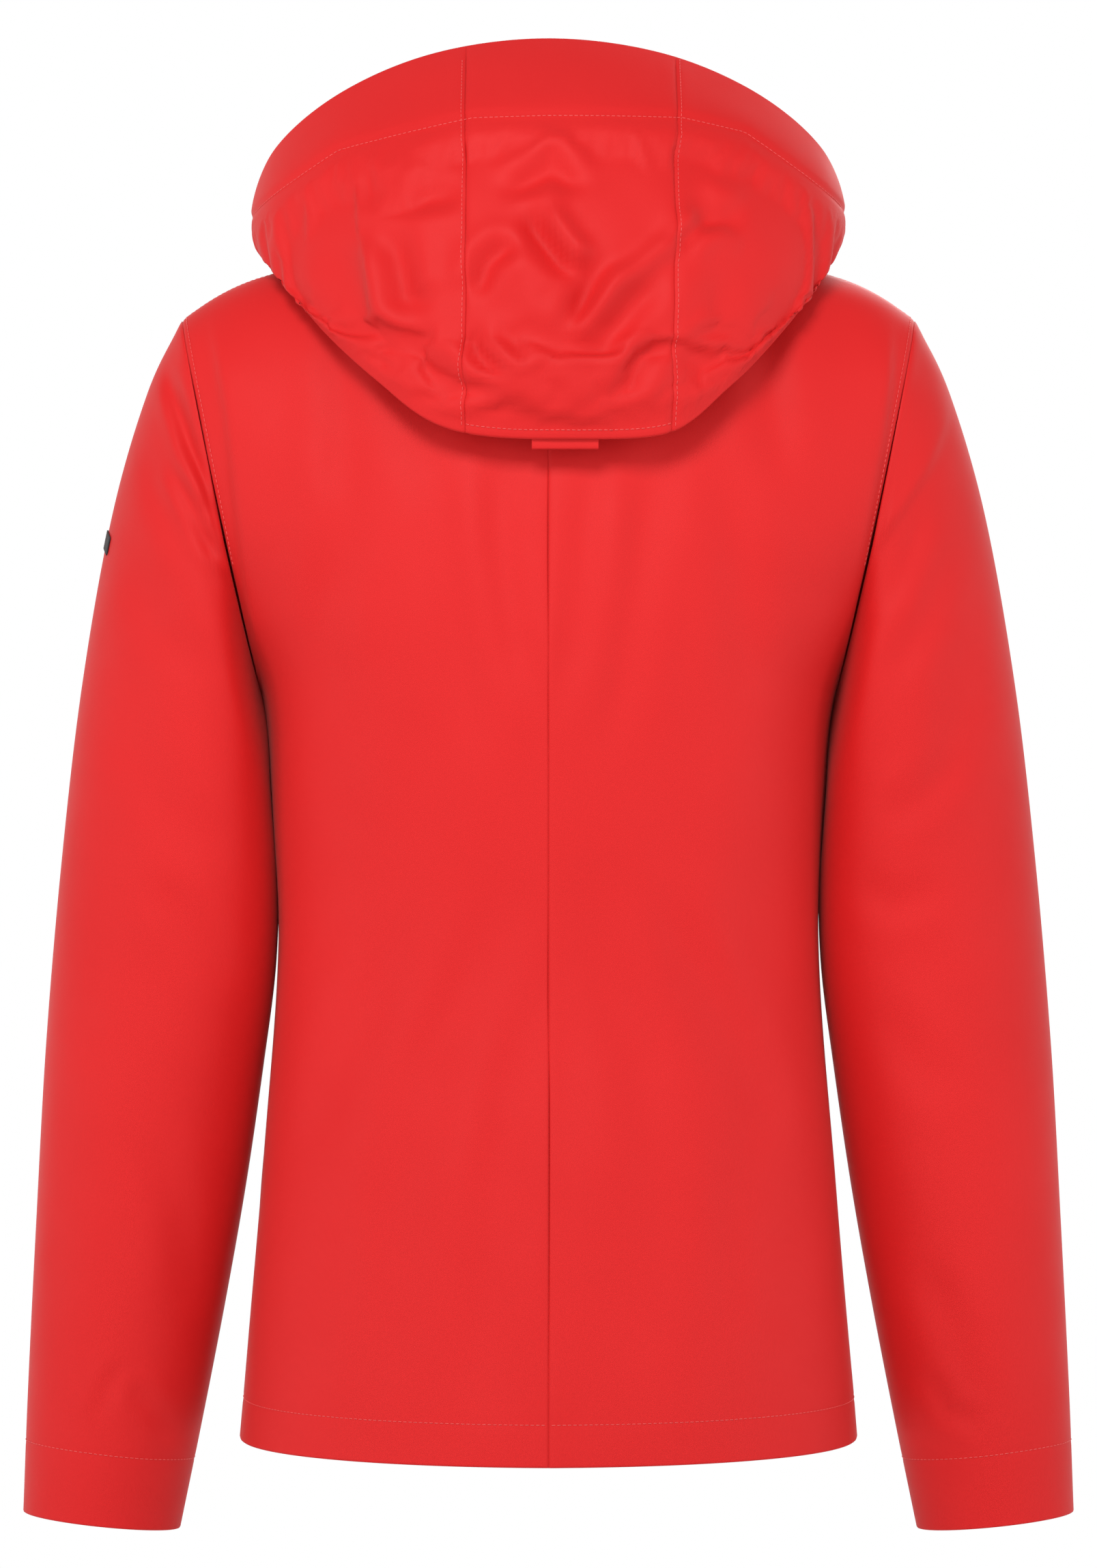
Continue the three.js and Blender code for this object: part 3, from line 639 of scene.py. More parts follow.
# ---------- the body's panels ----------
BACK_FOLDS = {
    "left": [
        drop([(159, -236), (168, -161), (177, -82), (183, -49), (189, -22)], 5.5, 1.6, 30, 0.2),
        valley([(118, -22), (112, -70), (118, -140)], 1.8, 10),
        valley([(30, -95), (26, -160), (12, -250)], 2.2, 9, 0.7),
        valley([(62, -80), (56, -160), (34, -300)], 1.6, 11, 0.7),
        valley([(96, -60), (112, -150), (132, -240)], 2.0, 11),
        valley([(20, -330), (62, -430), (92, -560)], 1.6, 13, 0.7),
        valley([(8, -380), (28, -500), (38, -620)], 1.4, 12, 0.7),
        valley([(60, -340), (112, -430), (146, -520)], 1.8, 12, 0.7),
    ],
    "right": [
        drop([(160, -236), (172, -165), (184, -98), (188, -65), (190, -20)], 5.5, 1.6, 30, 0.2),
        valley([(116, -16), (120, -70), (130, -126)], 1.9, 10),
        valley([(26, -95), (20, -170), (8, -260)], 2.2, 9, 0.7),
        valley([(58, -84), (46, -170), (26, -290)], 1.6, 11, 0.7),
        valley([(92, -90), (104, -170), (110, -260)], 1.7, 11, 0.7),
        valley([(14, -320), (50, -440), (70, -590)], 1.6, 13, 0.7),
        valley([(50, -330), (100, -420), (138, -500)], 1.8, 12, 0.7),
        valley([(124, -420), (104, -510), (100, -600)], 1.4, 13),
    ],
}
FRONT_FOLDS = {
    "left": [
        drop([(158, -240), (164, -170), (172, -110), (182, -50)], 4.0, 2.2, 26, 0.25),
        valley([(60, -90), (96, -150), (138, -190)], 2.2, 12),
        valley([(44, -230), (90, -250), (140, -262)], 1.8, 13),
        valley([(30, -380), (62, -350), (120, -340)], 1.6, 14),
        valley([(40, -520), (60, -580), (64, -630)], 1.4, 14),
    ],
    "right": [
        drop([(158, -240), (163, -170), (171, -110), (181, -52)], 4.0, 2.2, 26, 0.25),
        valley([(52, -100), (92, -140), (136, -200)], 2.0, 12),
        valley([(50, -240), (96, -268), (142, -272)], 1.9, 13),
        valley([(28, -360), (70, -352), (124, -330)], 1.6, 15),
        valley([(52, -500), (58, -570), (76, -630)], 1.3, 14),
    ],
}
ROW_SHARES = 1 - (1 - shares(650)) ** (1 / 1.8)
EDGE_ROLL = 1.1


def folded(grid, folds, towards, calm):
    """Presses folds into a grid, towards +Y (1) or -Y (-1)."""
    grid = grid.copy()
    grid[..., 1] += towards * calm * sum(f(grid[..., 0], grid[..., 2]) for f in folds)
    return grid


def rolled(grid, normals, radius, side, tuck=3.0):
    """Turns a grid's first row (side 0) or last row (side -1) in under itself."""
    edge, inner = (grid[0], grid[1]) if side == 0 else (grid[-1], grid[-2])
    out, n = unit(edge - inner), normals[side]
    turns = [edge + radius * (math.sin(a) * out - (1 - math.cos(a)) * n) for a in np.radians((40, 80, 120, 150, 180))]
    turns.append(turns[-1] - tuck * out)
    extra = np.stack(turns)
    return np.concatenate([extra[::-1], grid]) if side == 0 else np.concatenate([grid, extra])


def turned(grid):
    return np.swapaxes(grid, 0, 1)


def axis_core(grid):
    core = np.zeros_like(grid)
    core[..., 2] = grid[..., 2] - 30
    return core


def stitch_on(name, line, normals, keep, sign):
    return stitched(name, line[keep], normals[keep], THREAD, sign)


def body_panel(side, flat, folds, towards, seed, calm=1.0):
    core = axis_core(flat)
    normals = normals_of(flat, core)
    up, over = run(flat, 0), run(flat, 1)
    far = over[:, -1:] - over
    down = up[-1:] - up
    fade = smooth(over / 12) * smooth(far / 14) * smooth(up / 30) * smooth(down / 30)
    offset = drape(flat[..., 0] * SIDES[side], flat[..., 2], 2.4, seed) * fade * calm
    offset += seam_dip(far) + stitch_dip(up - HEM_DEPTH) + seam_dip(down, 0.4)
    return folded(flat + offset[..., None] * normals, folds, towards, calm), normals


def facing_inside(name, grid, normals, depth, side, sign, body, node=None):
    """A facing that lies against the inside of a grid's first rows."""
    rows = int(np.searchsorted(run(grid, 0)[:, grid.shape[1] // 2], depth))
    inner = grid[:rows] - 2.0 * normals[:rows]
    return cloth(name, inner[1:], axis_core(inner[1:]), LINING, FACING * 0.6, mirror=sign), inner


def make_back(side):
    sign = SIDES[side]
    flat = back_grid(shares(190), ROW_SHARES)
    flat[:, 0, 0] = -0.15  # the two panels meet at the centre seam
    grid, normals = body_panel(side, flat, BACK_FOLDS[side], 1, 11 if side == "left" else 23)
    over = run(flat, 1)
    lap = 0.45 * (1 - smooth((over - 5) / 3)) if side == "right" else 0  # the seam allowance lies to one side
    grid += (seam_dip(over, 0.2) + lap * smooth(over / 1.5))[..., None] * normals
    full = rolled(grid, normals, EDGE_ROLL, 0)
    obj = cloth(f"back_{side}", full, axis_core(full), SHELL, mirror=sign)
    declare(obj, grid, "hung", "hanger_loop")
    place_on(obj, "torso", "shell_fabric", f"back_panel_{side}")
    line, lift = line_on(grid, normals, 0, HEM_DEPTH)
    place_on(stitched(f"hem_stitch_back_{side}", line, lift, THREAD, sign), "torso", "shell_fabric")
    line, lift = line_on(grid, normals, 0, 7, from_end=True)
    thread = stitch_on(f"shoulder_stitch_{side}", line, lift, line[:, 0] > NECK_HALF + 8, sign)
    place_on(thread, "torso", "shell_fabric")
    line, lift = line_on(grid, normals, 1, 3.5, from_end=True)
    thread = stitch_on(f"armhole_stitch_{side}", line, lift, line[:, 2] > -168, sign)
    place_on(thread, "torso", "shell_fabric")
    return grid, normals


# ---------- front zip and pocket zips ----------
class Frame:
    """A place on the jacket: local Z up along a zip, local Y into the jacket."""

    def __init__(self, middle, side, inward, up):
        self.middle, self.axes = np.asarray(middle, float), np.array([side, inward, up], float)

    def at(self, x, y, z):
        return self.middle + point(x, y, z) @ self.axes


ZIP_LENGTH = math.hypot(FRONT_TOP_Y - FRONT_HEM_Y, COLLAR_TOP_Z - HEM_Z)
zip_up = np.array([0, FRONT_TOP_Y - FRONT_HEM_Y, COLLAR_TOP_Z - HEM_Z]) / ZIP_LENGTH
zip_frame = Frame((0, FRONT_HEM_Y, HEM_Z), (1, 0, 0), np.cross(zip_up, (1, 0, 0)), zip_up)
ZIP_BOX = 13

POCKET_LENGTH = 150
POCKET_SLOT = 9
POCKET_DEPTH = 0.8  # the cloth lies this much deeper around a pocket's zip


def pocket_place():
    ends = [np.array([x, float(front_y(x, z)), z]) for x, z in ((96, -432), (118, -582))]
    middle = (ends[0] + ends[1]) / 2
    middle[1] = front_y(middle[0], middle[2])
    up = unit(ends[0] - ends[1])
    inward = unit(np.cross(up, (1, float(front_y(middle[0] + 1, middle[2])) - middle[1], 0)))
    return Frame(middle, np.cross(inward, up), inward, up)


pocket_frame = pocket_place()


def block(name, frame_at, low, high):
    corners = np.array([[x, y, z] for z in (low[2], high[2]) for y in (low[1], high[1]) for x in (low[0], high[0])])
    faces = [(0, 2, 3, 1), (4, 5, 7, 6), (0, 1, 5, 4), (2, 6, 7, 3), (0, 4, 6, 2), (1, 3, 7, 5)]
    return object_of(name, frame_at.at(*corners.T), faces, LINING)


def finished(obj):
    """Applies an object's modifiers to its mesh."""
    bpy.context.view_layer.update()
    graph = bpy.context.evaluated_depsgraph_get()
    mesh = bpy.data.meshes.new_from_object(obj.evaluated_get(graph))
    obj.modifiers.clear()
    obj.data = mesh
    return obj


def cut_slot(obj, sign):
    half = POCKET_LENGTH / 2
    tool = block("slot_tool", pocket_frame, (-POCKET_SLOT / 2, -12, -half), (POCKET_SLOT / 2, 6, half))
    if sign < 0:
        tool.data.transform(((-1, 0, 0, 0), (0, 1, 0, 0), (0, 0, 1, 0), (0, 0, 0, 1)))
        tool.data.flip_normals()
    cut = obj.modifiers.new("slot", "BOOLEAN")
    cut.operation = "DIFFERENCE"
    cut.solver = "EXACT"
    cut.object = tool
    finished(obj)
    bpy.data.objects.remove(tool)


def on_front(grid, x, z):
    """Points on the folded front near (x, z)."""
    flat = grid.reshape(-1, 3)
    away = flat[:, 1] - front_y(flat[:, 0], flat[:, 2])
    nearest = np.array([np.argmin((flat[:, 0] - a) ** 2 + (flat[:, 2] - b) ** 2) for a, b in zip(x, z)])
    return point(x, front_y(x, z) + away[nearest], z)


def make_front(side):
    sign = SIDES[side]
    flat = front_grid(shares(200), ROW_SHARES)
    aside = np.abs((flat - pocket_frame.middle) @ pocket_frame.axes[0])
    beyond = np.abs((flat - pocket_frame.middle) @ pocket_frame.axes[2]) - POCKET_LENGTH / 2
    calm = 1 - (1 - smooth((aside - 10) / 22)) * (1 - smooth((beyond - 14) / 22))  # the pocket's zip lies flat
    grid, normals = body_panel(side, flat, FRONT_FOLDS[side], -1, 37 if side == "left" else 41, calm)
    pad = run(grid, 1) - 6
    sunk = POCKET_DEPTH * (1 - calm)
    grid += (stitch_dip(pad) + 0.5 * (1 - smooth((pad + 6) / 14)) - sunk)[..., None] * normals
    full = rolled(grid, normals, EDGE_ROLL, 0)
    edge_normals = normals_of(full, axis_core(full))
    full = turned(rolled(turned(full), turned(edge_normals), EDGE_ROLL, 0, 1.5))
    obj = cloth(f"front_{side}", full, axis_core(full), SHELL, mirror=sign)
    cut_slot(obj, sign)
    declare(obj, grid, "hung", "hanger_loop")
    place_on(obj, "torso", "shell_fabric", f"front_panel_{side}")
    for name, axis, distance, end in (("hem_stitch_front", 0, HEM_DEPTH, False), ("zip_stitch", 1, 6, False),
                                      ("armhole_stitch_front", 1, 3.5, True)):
        line, lift = line_on(grid, normals, axis, distance, from_end=end)
        keep = line[:, 2] > -225 if end else line[:, 2] > -1000
        place_on(stitch_on(f"{name}_{side}", line, lift, keep, sign), "torso", "shell_fabric")
    half, wide = POCKET_LENGTH / 2 + 3, POCKET_SLOT / 2 + 3
    across = np.concatenate([np.linspace(-wide, wide, 6), [wide] * 60, np.linspace(wide, -wide, 6), [-wide] * 60])
    along_z = np.concatenate([[half] * 6, np.linspace(half, -half, 60), [-half] * 6, np.linspace(-half, half, 60)])
    path_points = pocket_frame.at(across, 0, along_z)
    line = on_front(grid, path_points[:, 0], path_points[:, 2])
    lift = np.broadcast_to(-pocket_frame.axes[1], line.shape)
    place_on(stitched(f"pocket_stitch_{side}", line, lift, THREAD, sign), "torso", "shell_fabric")
    return grid, normals


def teeth(name, frame_at, x0, x1, y, z0, z1, pitch, radius, sign, shift=0.0):
    z = np.arange(z0 + radius + shift, z1 - radius, pitch)
    size = (sign, 1, 1)
    return capsules(name, frame_at.at(x0 + radius, y, z) * size, frame_at.at(x1 - radius, y, z) * size, radius, COIL)


def make_zips():
    for side, sign in SIDES.items():
        shift = 0.8 if side == "right" else 0
        chain = teeth(f"zip_teeth_{side}", zip_frame, 0.12, 3.3, 1.85, ZIP_BOX + 1, ZIP_LENGTH - 5, 1.6, 0.55, sign, shift)
        place_on(chain, "torso", "zip_coil", f"zip_chain_{side}")
        half = POCKET_LENGTH / 2
        chain = teeth(f"pocket_teeth_{side}", pocket_frame, -2, 2, 2.65, -half + 1, half - 1, 1.5, 0.45, sign)
        place_on(chain, "torso", "zip_coil", f"pocket_zip_chain_{side}")


def strip(name, x0, x1, z0, z1, y, wave, corner, material_used, thickness, seed):
    """A flat strip of cloth behind the zip, with rounded corners and a slight wave."""
    xs, zs = shares(x1 - x0, 2.0, (0.4, 1.0)), shares(z1 - z0, 4.0)
    x, z = np.meshgrid(lerp(x0, x1, xs), lerp(z0, z1, zs))
    near = np.minimum(z - z0, z1 - z)
    inset = corner - np.sqrt(np.maximum(0, corner**2 - np.maximum(0, corner - near) ** 2))
    middle, half = (x0 + x1) / 2, (x1 - x0) / 2
    x = middle + (x - middle) * (half - inset) / half
    depth = y + drape(x * 3, z, wave, seed)
    grid = zip_frame.at(x, depth, z)
    obj = cloth(name, grid, grid + (0, 50, 0), material_used, thickness, inward=False)
    return obj, grid


def make_flaps():
    obj, grid = strip("storm_flap_cloth", -13, 16, 10, ZIP_LENGTH - 42, 8.0, 0.8, 5, LINING, 0.9, 5)
    declare(obj, grid, "hung", "front_left")
    place_on(obj, "torso", "facing_fabric", "storm_flap")
    obj, grid = strip("chin_guard_cloth", -6, 14, ZIP_LENGTH - 40, ZIP_LENGTH - 4, 8.0, 0.3, 6, TRIM, 1.0, 6)
    declare(obj, grid, "hung", "collar_cloth")
    place_on(obj, "torso", "dark_trim", "chin_guard")


def make_pouch(side):
    us, vs = shares(96, 5), shares(200, 5)
    u, v = us[None, :], vs[:, None]
    z = lerp(-618, -418, v) + 0 * u
    x = lerp(36, 132, u) + 0 * v
    surface = point(x, front_y(x, z), z)
    deep = 3.4 + 9 * np.sqrt(np.maximum(0, np.sin(math.pi * u) * np.sin(math.pi * v)))
    deep = deep + drape(x, z * 2, 1.6, 51) * smooth(8 * u * (1 - u) * v * (1 - v))
    inward = unit(point(-surface[..., 0], -surface[..., 1], 0))
    grid = surface + inward * deep[..., None]
    obj = cloth(f"pouch_{side}", grid, axis_core(grid), LINING, 0.6, mirror=SIDES[side])
    declare(obj, grid, "hung", f"front_{side}")
    place_on(obj, "torso", "facing_fabric", f"pocket_pouch_{side}")


def make_hem_facing(grids):
    """One facing right round inside the hem, from front to front."""
    rows = int(np.searchsorted(run(grids["front", "left"][0], 0)[:, 20], HEM_DEPTH))
    parts = []
    for which, side in (("front", "left"), ("back", "left"), ("back", "right"), ("front", "right")):
        grid, normals = grids[which, side]
        inner = (grid[1:rows] - 2.1 * normals[1:rows]) * (SIDES[side], 1, 1)
        forward = which == "front" and side == "left" or which == "back" and side == "right"
        parts.append(inner[:, 3:] if forward else inner[:, ::-1])
    joined = np.concatenate([parts[0], parts[1][:, 1:], parts[2][:, 1:], parts[3][:, 1:-3]], axis=1)
    core = np.zeros_like(joined)
    core[..., 2] = HEM_Z
    obj = cloth("hem_facing_cloth", joined, core, LINING, FACING * 0.6)
    declare(obj, joined, "hung", "back_left")
    place_on(obj, "torso", "facing_fabric", "hem_facing")


# ---------- collar and hanger loop ----------
def neckline(t):
    x = NECK_HALF * np.sin(math.pi * t)
    z = np.where(t < 0.5, neck_front_z(x), neck_back_z(x))
    return point(x, np.where(t < 0.5, front_y(x, z), back_y(x, z)), z)


def collar_at(s, v):
    s, v = np.broadcast_arrays(s, v)
    back = np.where(s <= 1, s, 2 - s)
    base = neckline(back)
    z = lerp(base[..., 2], lerp(COLLAR_TOP_Z, COLLAR_BACK_Z, smooth(back * 1.6)), v)
    lean = lerp(front_line_y(z) - front_line_y(base[..., 2]), -9 * v, smooth(back))
    return point(base[..., 0] * COLLAR_INSET * np.where(s <= 1, 1, -1), -10 + (base[..., 1] + 10) * COLLAR_INSET + lean, z)


def make_collar():
    grid = collar_at(np.linspace(0.03, 1.97, 150)[None, :], shares(50)[:, None])
    core = grid * (0, 0, 1) + (0, -15, 0)
    normals = normals_of(grid, core)
    down = run(grid, 0)[-1:] - run(grid, 0)
    around = np.linspace(0, 1, grid.shape[1])
    wave = 0.8 * np.sin(around * 41) * smooth(down / 10) * smooth(run(grid, 0) / 10)
    grid = grid + (stitch_dip(down - 5) + wave)[..., None] * normals
    full = rolled(grid, normals, 0.9, -1, 4)
    obj = cloth("collar_cloth", full, core[:1], SHELL, 0.9)
    declare(obj, grid, "hung", "back_left")
    place_on(obj, "torso", "shell_fabric", "collar")
    line, lift = line_on(grid, normals, 0, 5, from_end=True)
    place_on(stitched("collar_stitch", line, lift, THREAD), "torso", "shell_fabric")


def ribbon(name, line, across, width, material_used, thickness, mirror=1):
    """A narrow band that follows a line of points, width wide along a fixed direction."""
    offsets = np.array([-0.5, -0.42, -0.25, 0, 0.25, 0.42, 0.5]) * width
    grid = np.asarray(line)[:, None, :] + offsets[None, :, None] * np.asarray(across, float)
    return cloth(name, grid, grid.mean(axis=(0, 1)), material_used, thickness, mirror=mirror), grid


LOOP_HALF = 20


def make_hanger_loop():
    _, y, z = SEAT
    corner, top, foot = 4, z + 0.8, z - 18.2
    arc = [(LOOP_HALF - 0.8 - corner + corner * math.sin(a), top - corner + corner * math.cos(a)) for a in np.linspace(0, math.pi / 2, 7)]
    half = [(0, top - 0), (6, top), (12, top)] + arc + [(LOOP_HALF - 0.8, z - 8), (LOOP_HALF - 0.8, foot + 1.5)]
    line = [(x, y, h) for x, h in half] + [(LOOP_HALF - 0.8, y, foot)]
    points = [(-x, b, h) for x, b, h in line[::-1]] + line[1:]
    obj, grid = ribbon("hanger_loop_band", points, (0, 1, 0), 6, TRIM, 1.2)
    declare(obj, grid, "stretched", "collar_cloth")
    place_on(obj, "torso", "dark_trim", "hanger_loop")
    for side, sign in SIDES.items():
        x = LOOP_HALF - 0.8
        foot_line = [(x, y + d, foot) for d in np.linspace(-3, 12.5, 8)]
        obj, grid = ribbon(f"hanger_loop_foot_{side}", foot_line, (1, 0, 0), 4, TRIM, 1.0, sign)
        place_on(obj, "torso", "dark_trim")


# ---------- sleeves ----------
SLEEVE_FOLDS_BACK = {
    "left": [
        valley([(214, -48), (195, -101), (177, -139), (166, -168)], 4.2, 4.5, 0.55, 0.18),
        valley([(209, -106), (195, -132), (178, -141)], 3.0, 4.5, 0.6),
        valley([(199, -134), (183, -155), (168, -163)], 2.8, 4.5, 0.6),
        valley([(226, -90), (212, -128), (190, -168)], 1.8, 8),
        valley([(236, -150), (214, -200), (178, -232)], 1.4, 11),
        valley([(240, -240), (206, -300), (172, -330)], 1.4, 13),
        valley([(220, -330), (190, -372), (166, -404)], 1.5, 10),
        valley([(226, -470), (204, -520), (196, -590)], 1.6, 11),
        valley([(262, -420), (270, -520), (276, -600)], 0.8, 9),
        valley([(236, -610), (214, -640), (206, -656)], 1.5, 6),
        valley([(250, -640), (244, -618), (232, -600)], 0.9, 5),
    ],
    "right": [
        drop([(166, -172), (192, -138), (209, -112), (221, -85), (224, -58)], 3.4, 2.0, 26, 0.15),
        valley([(206, -128), (196, -164), (182, -196)], 2.0, 7),
        valley([(214, -150), (206, -196), (180, -236)], 1.6, 9),
        valley([(232, -150), (228, -240), (206, -300)], 1.2, 12),
        valley([(176, -306), (206, -292), (232, -262)], 1.5, 9),
        valley([(166, -336), (190, -350), (222, -340)], 1.3, 9),
        valley([(176, -400), (206, -440), (236, -460)], 1.2, 12),
        valley([(204, -540), (226, -590), (236, -640)], 1.4, 10),
        valley([(206, -604), (222, -632), (246, -640)], 1.3, 6),
    ],
}
SLEEVE_FOLDS_FRONT = {
    "left": [
        valley([(214, -60), (196, -110), (172, -160)], 3.4, 6, 0.5, 0.2),
        valley([(232, -130), (206, -170), (172, -196)], 2.2, 8),
        valley([(240, -300), (206, -340), (166, -352)], 2.2, 9),
        valley([(246, -360), (214, -380), (172, -376)], 2.0, 8),
        valley([(262, -520), (232, -560), (200, -572)], 1.6, 9),
    ],
    "right": [
        valley([(216, -70), (200, -116), (174, -154)], 3.2, 6, 0.5, 0.2),
        valley([(234, -150), (204, -186), (170, -206)], 2.1, 8),
        valley([(244, -312), (208, -336), (166, -338)], 2.0, 9),
        valley([(240, -372), (212, -392), (170, -392)], 2.2, 8),
        valley([(258, -530), (236, -572), (204, -590)], 1.6, 9),
    ],
}
SLEEVE_LINE = ((168, 0, -198), (262, 0, -245))  # where a bend of the sleeve away from the body would start and end; nothing bends it


def make_sleeve(side):
    sign = SIDES[side]
    bodies = ("torso", f"sleeve_{side}")
    bend = [np.array(p) * (sign, 1, 1) for p in SLEEVE_LINE]
    ws = shares(675)
    turns = np.linspace(0, 2 * math.pi, 121)
    flat = sleeve_at(ws[:, None], turns[None, :])
    side_seam = side_x(flat[..., 2]) + 0.1
    inmost = np.exp(-(((turns - math.pi) * 45 / 14) ** 2))[None, :] * smooth((flat[..., 2] + 300) / 16)
    flat[..., 0] = lerp(np.maximum(flat[..., 0], side_seam), side_seam, inmost)
    middle = sleeve_middle(ws)[:, None, :] + 0 * flat
    normals = normals_of(flat, middle, around=True)
    normals[:, -1] = normals[:, 0]
    down = run(flat, 0)
    up = down[-1:] - down
    fade = smooth(down / 16) * smooth(up / 30)
    free = smooth((flat[..., 0] - side_x(flat[..., 2]) - 1) / 8)
    around = np.cos(turns)[None, :] * 60 + 0 * down
    offset = drape(around + 200 * np.sign(np.sin(turns)), flat[..., 2], 1.8, 61 if side == "left" else 67)
    offset *= fade * np.abs(np.sin(turns)) * free
    offset += seam_dip(down, 0.6) * smooth(np.abs(np.sin(turns)) * 4) + stitch_dip(up - CUFF_DEPTH, 0.35)
    inseam = np.abs(turns - math.pi)[None, :] * 45
    offset -= 0.4 * np.exp(-((inseam / 1.2) ** 2)) * free
    grid = flat + offset[..., None] * normals
    x, z = flat[..., 0], flat[..., 2]
    for folds, towards in ((SLEEVE_FOLDS_BACK[side], 1), (SLEEVE_FOLDS_FRONT[side], -1)):
        facing = smooth((normals[..., 1] * towards - 0.1) / 0.5)
        join = lerp(1, facing, smooth(down / 12)) * (np.sin(turns) * towards > 0)
        grid[..., 1] += towards * sum(f(x, z) for f in folds) * join * lerp(smooth(free), 1, 0.5)
    full = rolled(grid, normals, EDGE_ROLL, -1)
    core = np.concatenate([middle, np.repeat(middle[-1:], len(full) - len(grid), axis=0)])
    obj = cloth(f"sleeve_cloth_{side}", full, core, SHELL, around=True, mirror=sign)
    declare(obj, grid, "hung", f"back_{side}")
    place_between(obj, bodies, bend, "shell_fabric", f"sleeve_{side}")
    line, lift = line_on(grid, normals, 0, CUFF_DEPTH, from_end=True)
    place_between(stitched(f"cuff_stitch_{side}", line, lift, THREAD, sign), bodies, bend, "shell_fabric")
    rows = int(np.searchsorted(-up[:, 30], -CUFF_DEPTH))
    inner = grid[rows:-1] - 2.1 * normals[rows:-1]
    obj = cloth(f"cuff_facing_cloth_{side}", inner, middle[rows:-1], LINING, FACING * 0.6, around=True, mirror=sign)
    declare(obj, inner, "hung", f"sleeve_cloth_{side}")
    place_on(obj, bodies[1], "facing_fabric", f"cuff_facing_{side}")
    return grid, normals, ws, turns


def patch_on(sleeve, turn_range, w_range, lift, columns, rows, free_end=None):
    """A patch of the sleeve's surface, lifted off it; free_end rounds off its first column's corners."""
    grid, normals, ws, turns = sleeve
    u, v = np.linspace(0, 1, columns), np.linspace(-1, 1, rows)
    if free_end:
        length = free_end[0] * u
        round_off = np.sqrt(np.maximum(0, 1 - np.maximum(0, 1 - length / free_end[1]) ** 2))
        scale = lerp(1 - free_end[2], 1, round_off)
    else:
        scale = np.ones(columns)
    w = lerp(*w_range, (v[:, None] * scale + 1) / 2)
    turn = lerp(*turn_range, u)[None, :] + 0 * w
    r = np.interp(w, ws, np.arange(len(ws))).ravel()
    c = (np.interp(turn % (2 * math.pi), turns, np.arange(len(turns)))).ravel()
    base = sampled(grid, r, c).reshape(rows, columns, 3)
    n = sampled(normals, r, c).reshape(rows, columns, 3)
    return base + lift * n, n, base - 40 * n


TAB_TURNS = (1.2 * math.pi, 1.7 * math.pi)
TAB_ROWS = (0.938, 0.972)


def make_cuff_parts(side, sleeve):
    sign = SIDES[side]
    grid, n, core = patch_on(sleeve, TAB_TURNS, TAB_ROWS, 3.0, 60, 17, (70, 7, 0.55))
    border = np.minimum(run(grid, 0), run(grid, 0)[-1:] - run(grid, 0))
    grid = grid + (stitch_dip(border - 2, 0.3))[..., None] * n
    obj = cloth(f"cuff_tab_cloth_{side}", grid, core, SHELL, 1.3, mirror=sign)
    declare(obj, grid, "stretched", f"sleeve_cloth_{side}")
    place_on(obj, f"cuff_tab_{side}", "shell_fabric", f"cuff_tab_{side}")
    row, column = grid[2:-2], n[2:-2]
    outline = np.concatenate([row[0, ::-1], row[:, 2], row[-1]])
    lifts = np.concatenate([column[0, ::-1], column[:, 2], column[-1]])
    outline[row.shape[1]:-row.shape[1]] += 0.1
    place_on(stitched(f"cuff_tab_stitch_{side}", outline, lifts, THREAD, sign), f"cuff_tab_{side}", "shell_fabric")
    grid, _, core = patch_on(sleeve, (TAB_TURNS[0], 1.5 * math.pi), TAB_ROWS, 1.3, 36, 13, (45, 4, 0.4))
    obj = cloth(f"cuff_loops_{side}", grid, core, LOOPS, 0.8, mirror=sign)
    declare(obj, grid, "stretched", f"sleeve_cloth_{side}")
    place_on(obj, f"sleeve_{side}", "dark_trim", f"cuff_loop_patch_{side}")


def make_sleeve_patch(sleeve):
    grid, _, core = patch_on(sleeve, (-0.1 * math.pi, 0.1 * math.pi), (0.262, 0.276), 1.0, 24, 7)
    obj = cloth("sleeve_patch_cloth", grid, core, TRIM, 0.6)
    declare(obj, grid, "stretched", "sleeve_cloth_left")
    place_between(obj, ("torso", "sleeve_left"), SLEEVE_LINE, "dark_trim", "sleeve_patch")


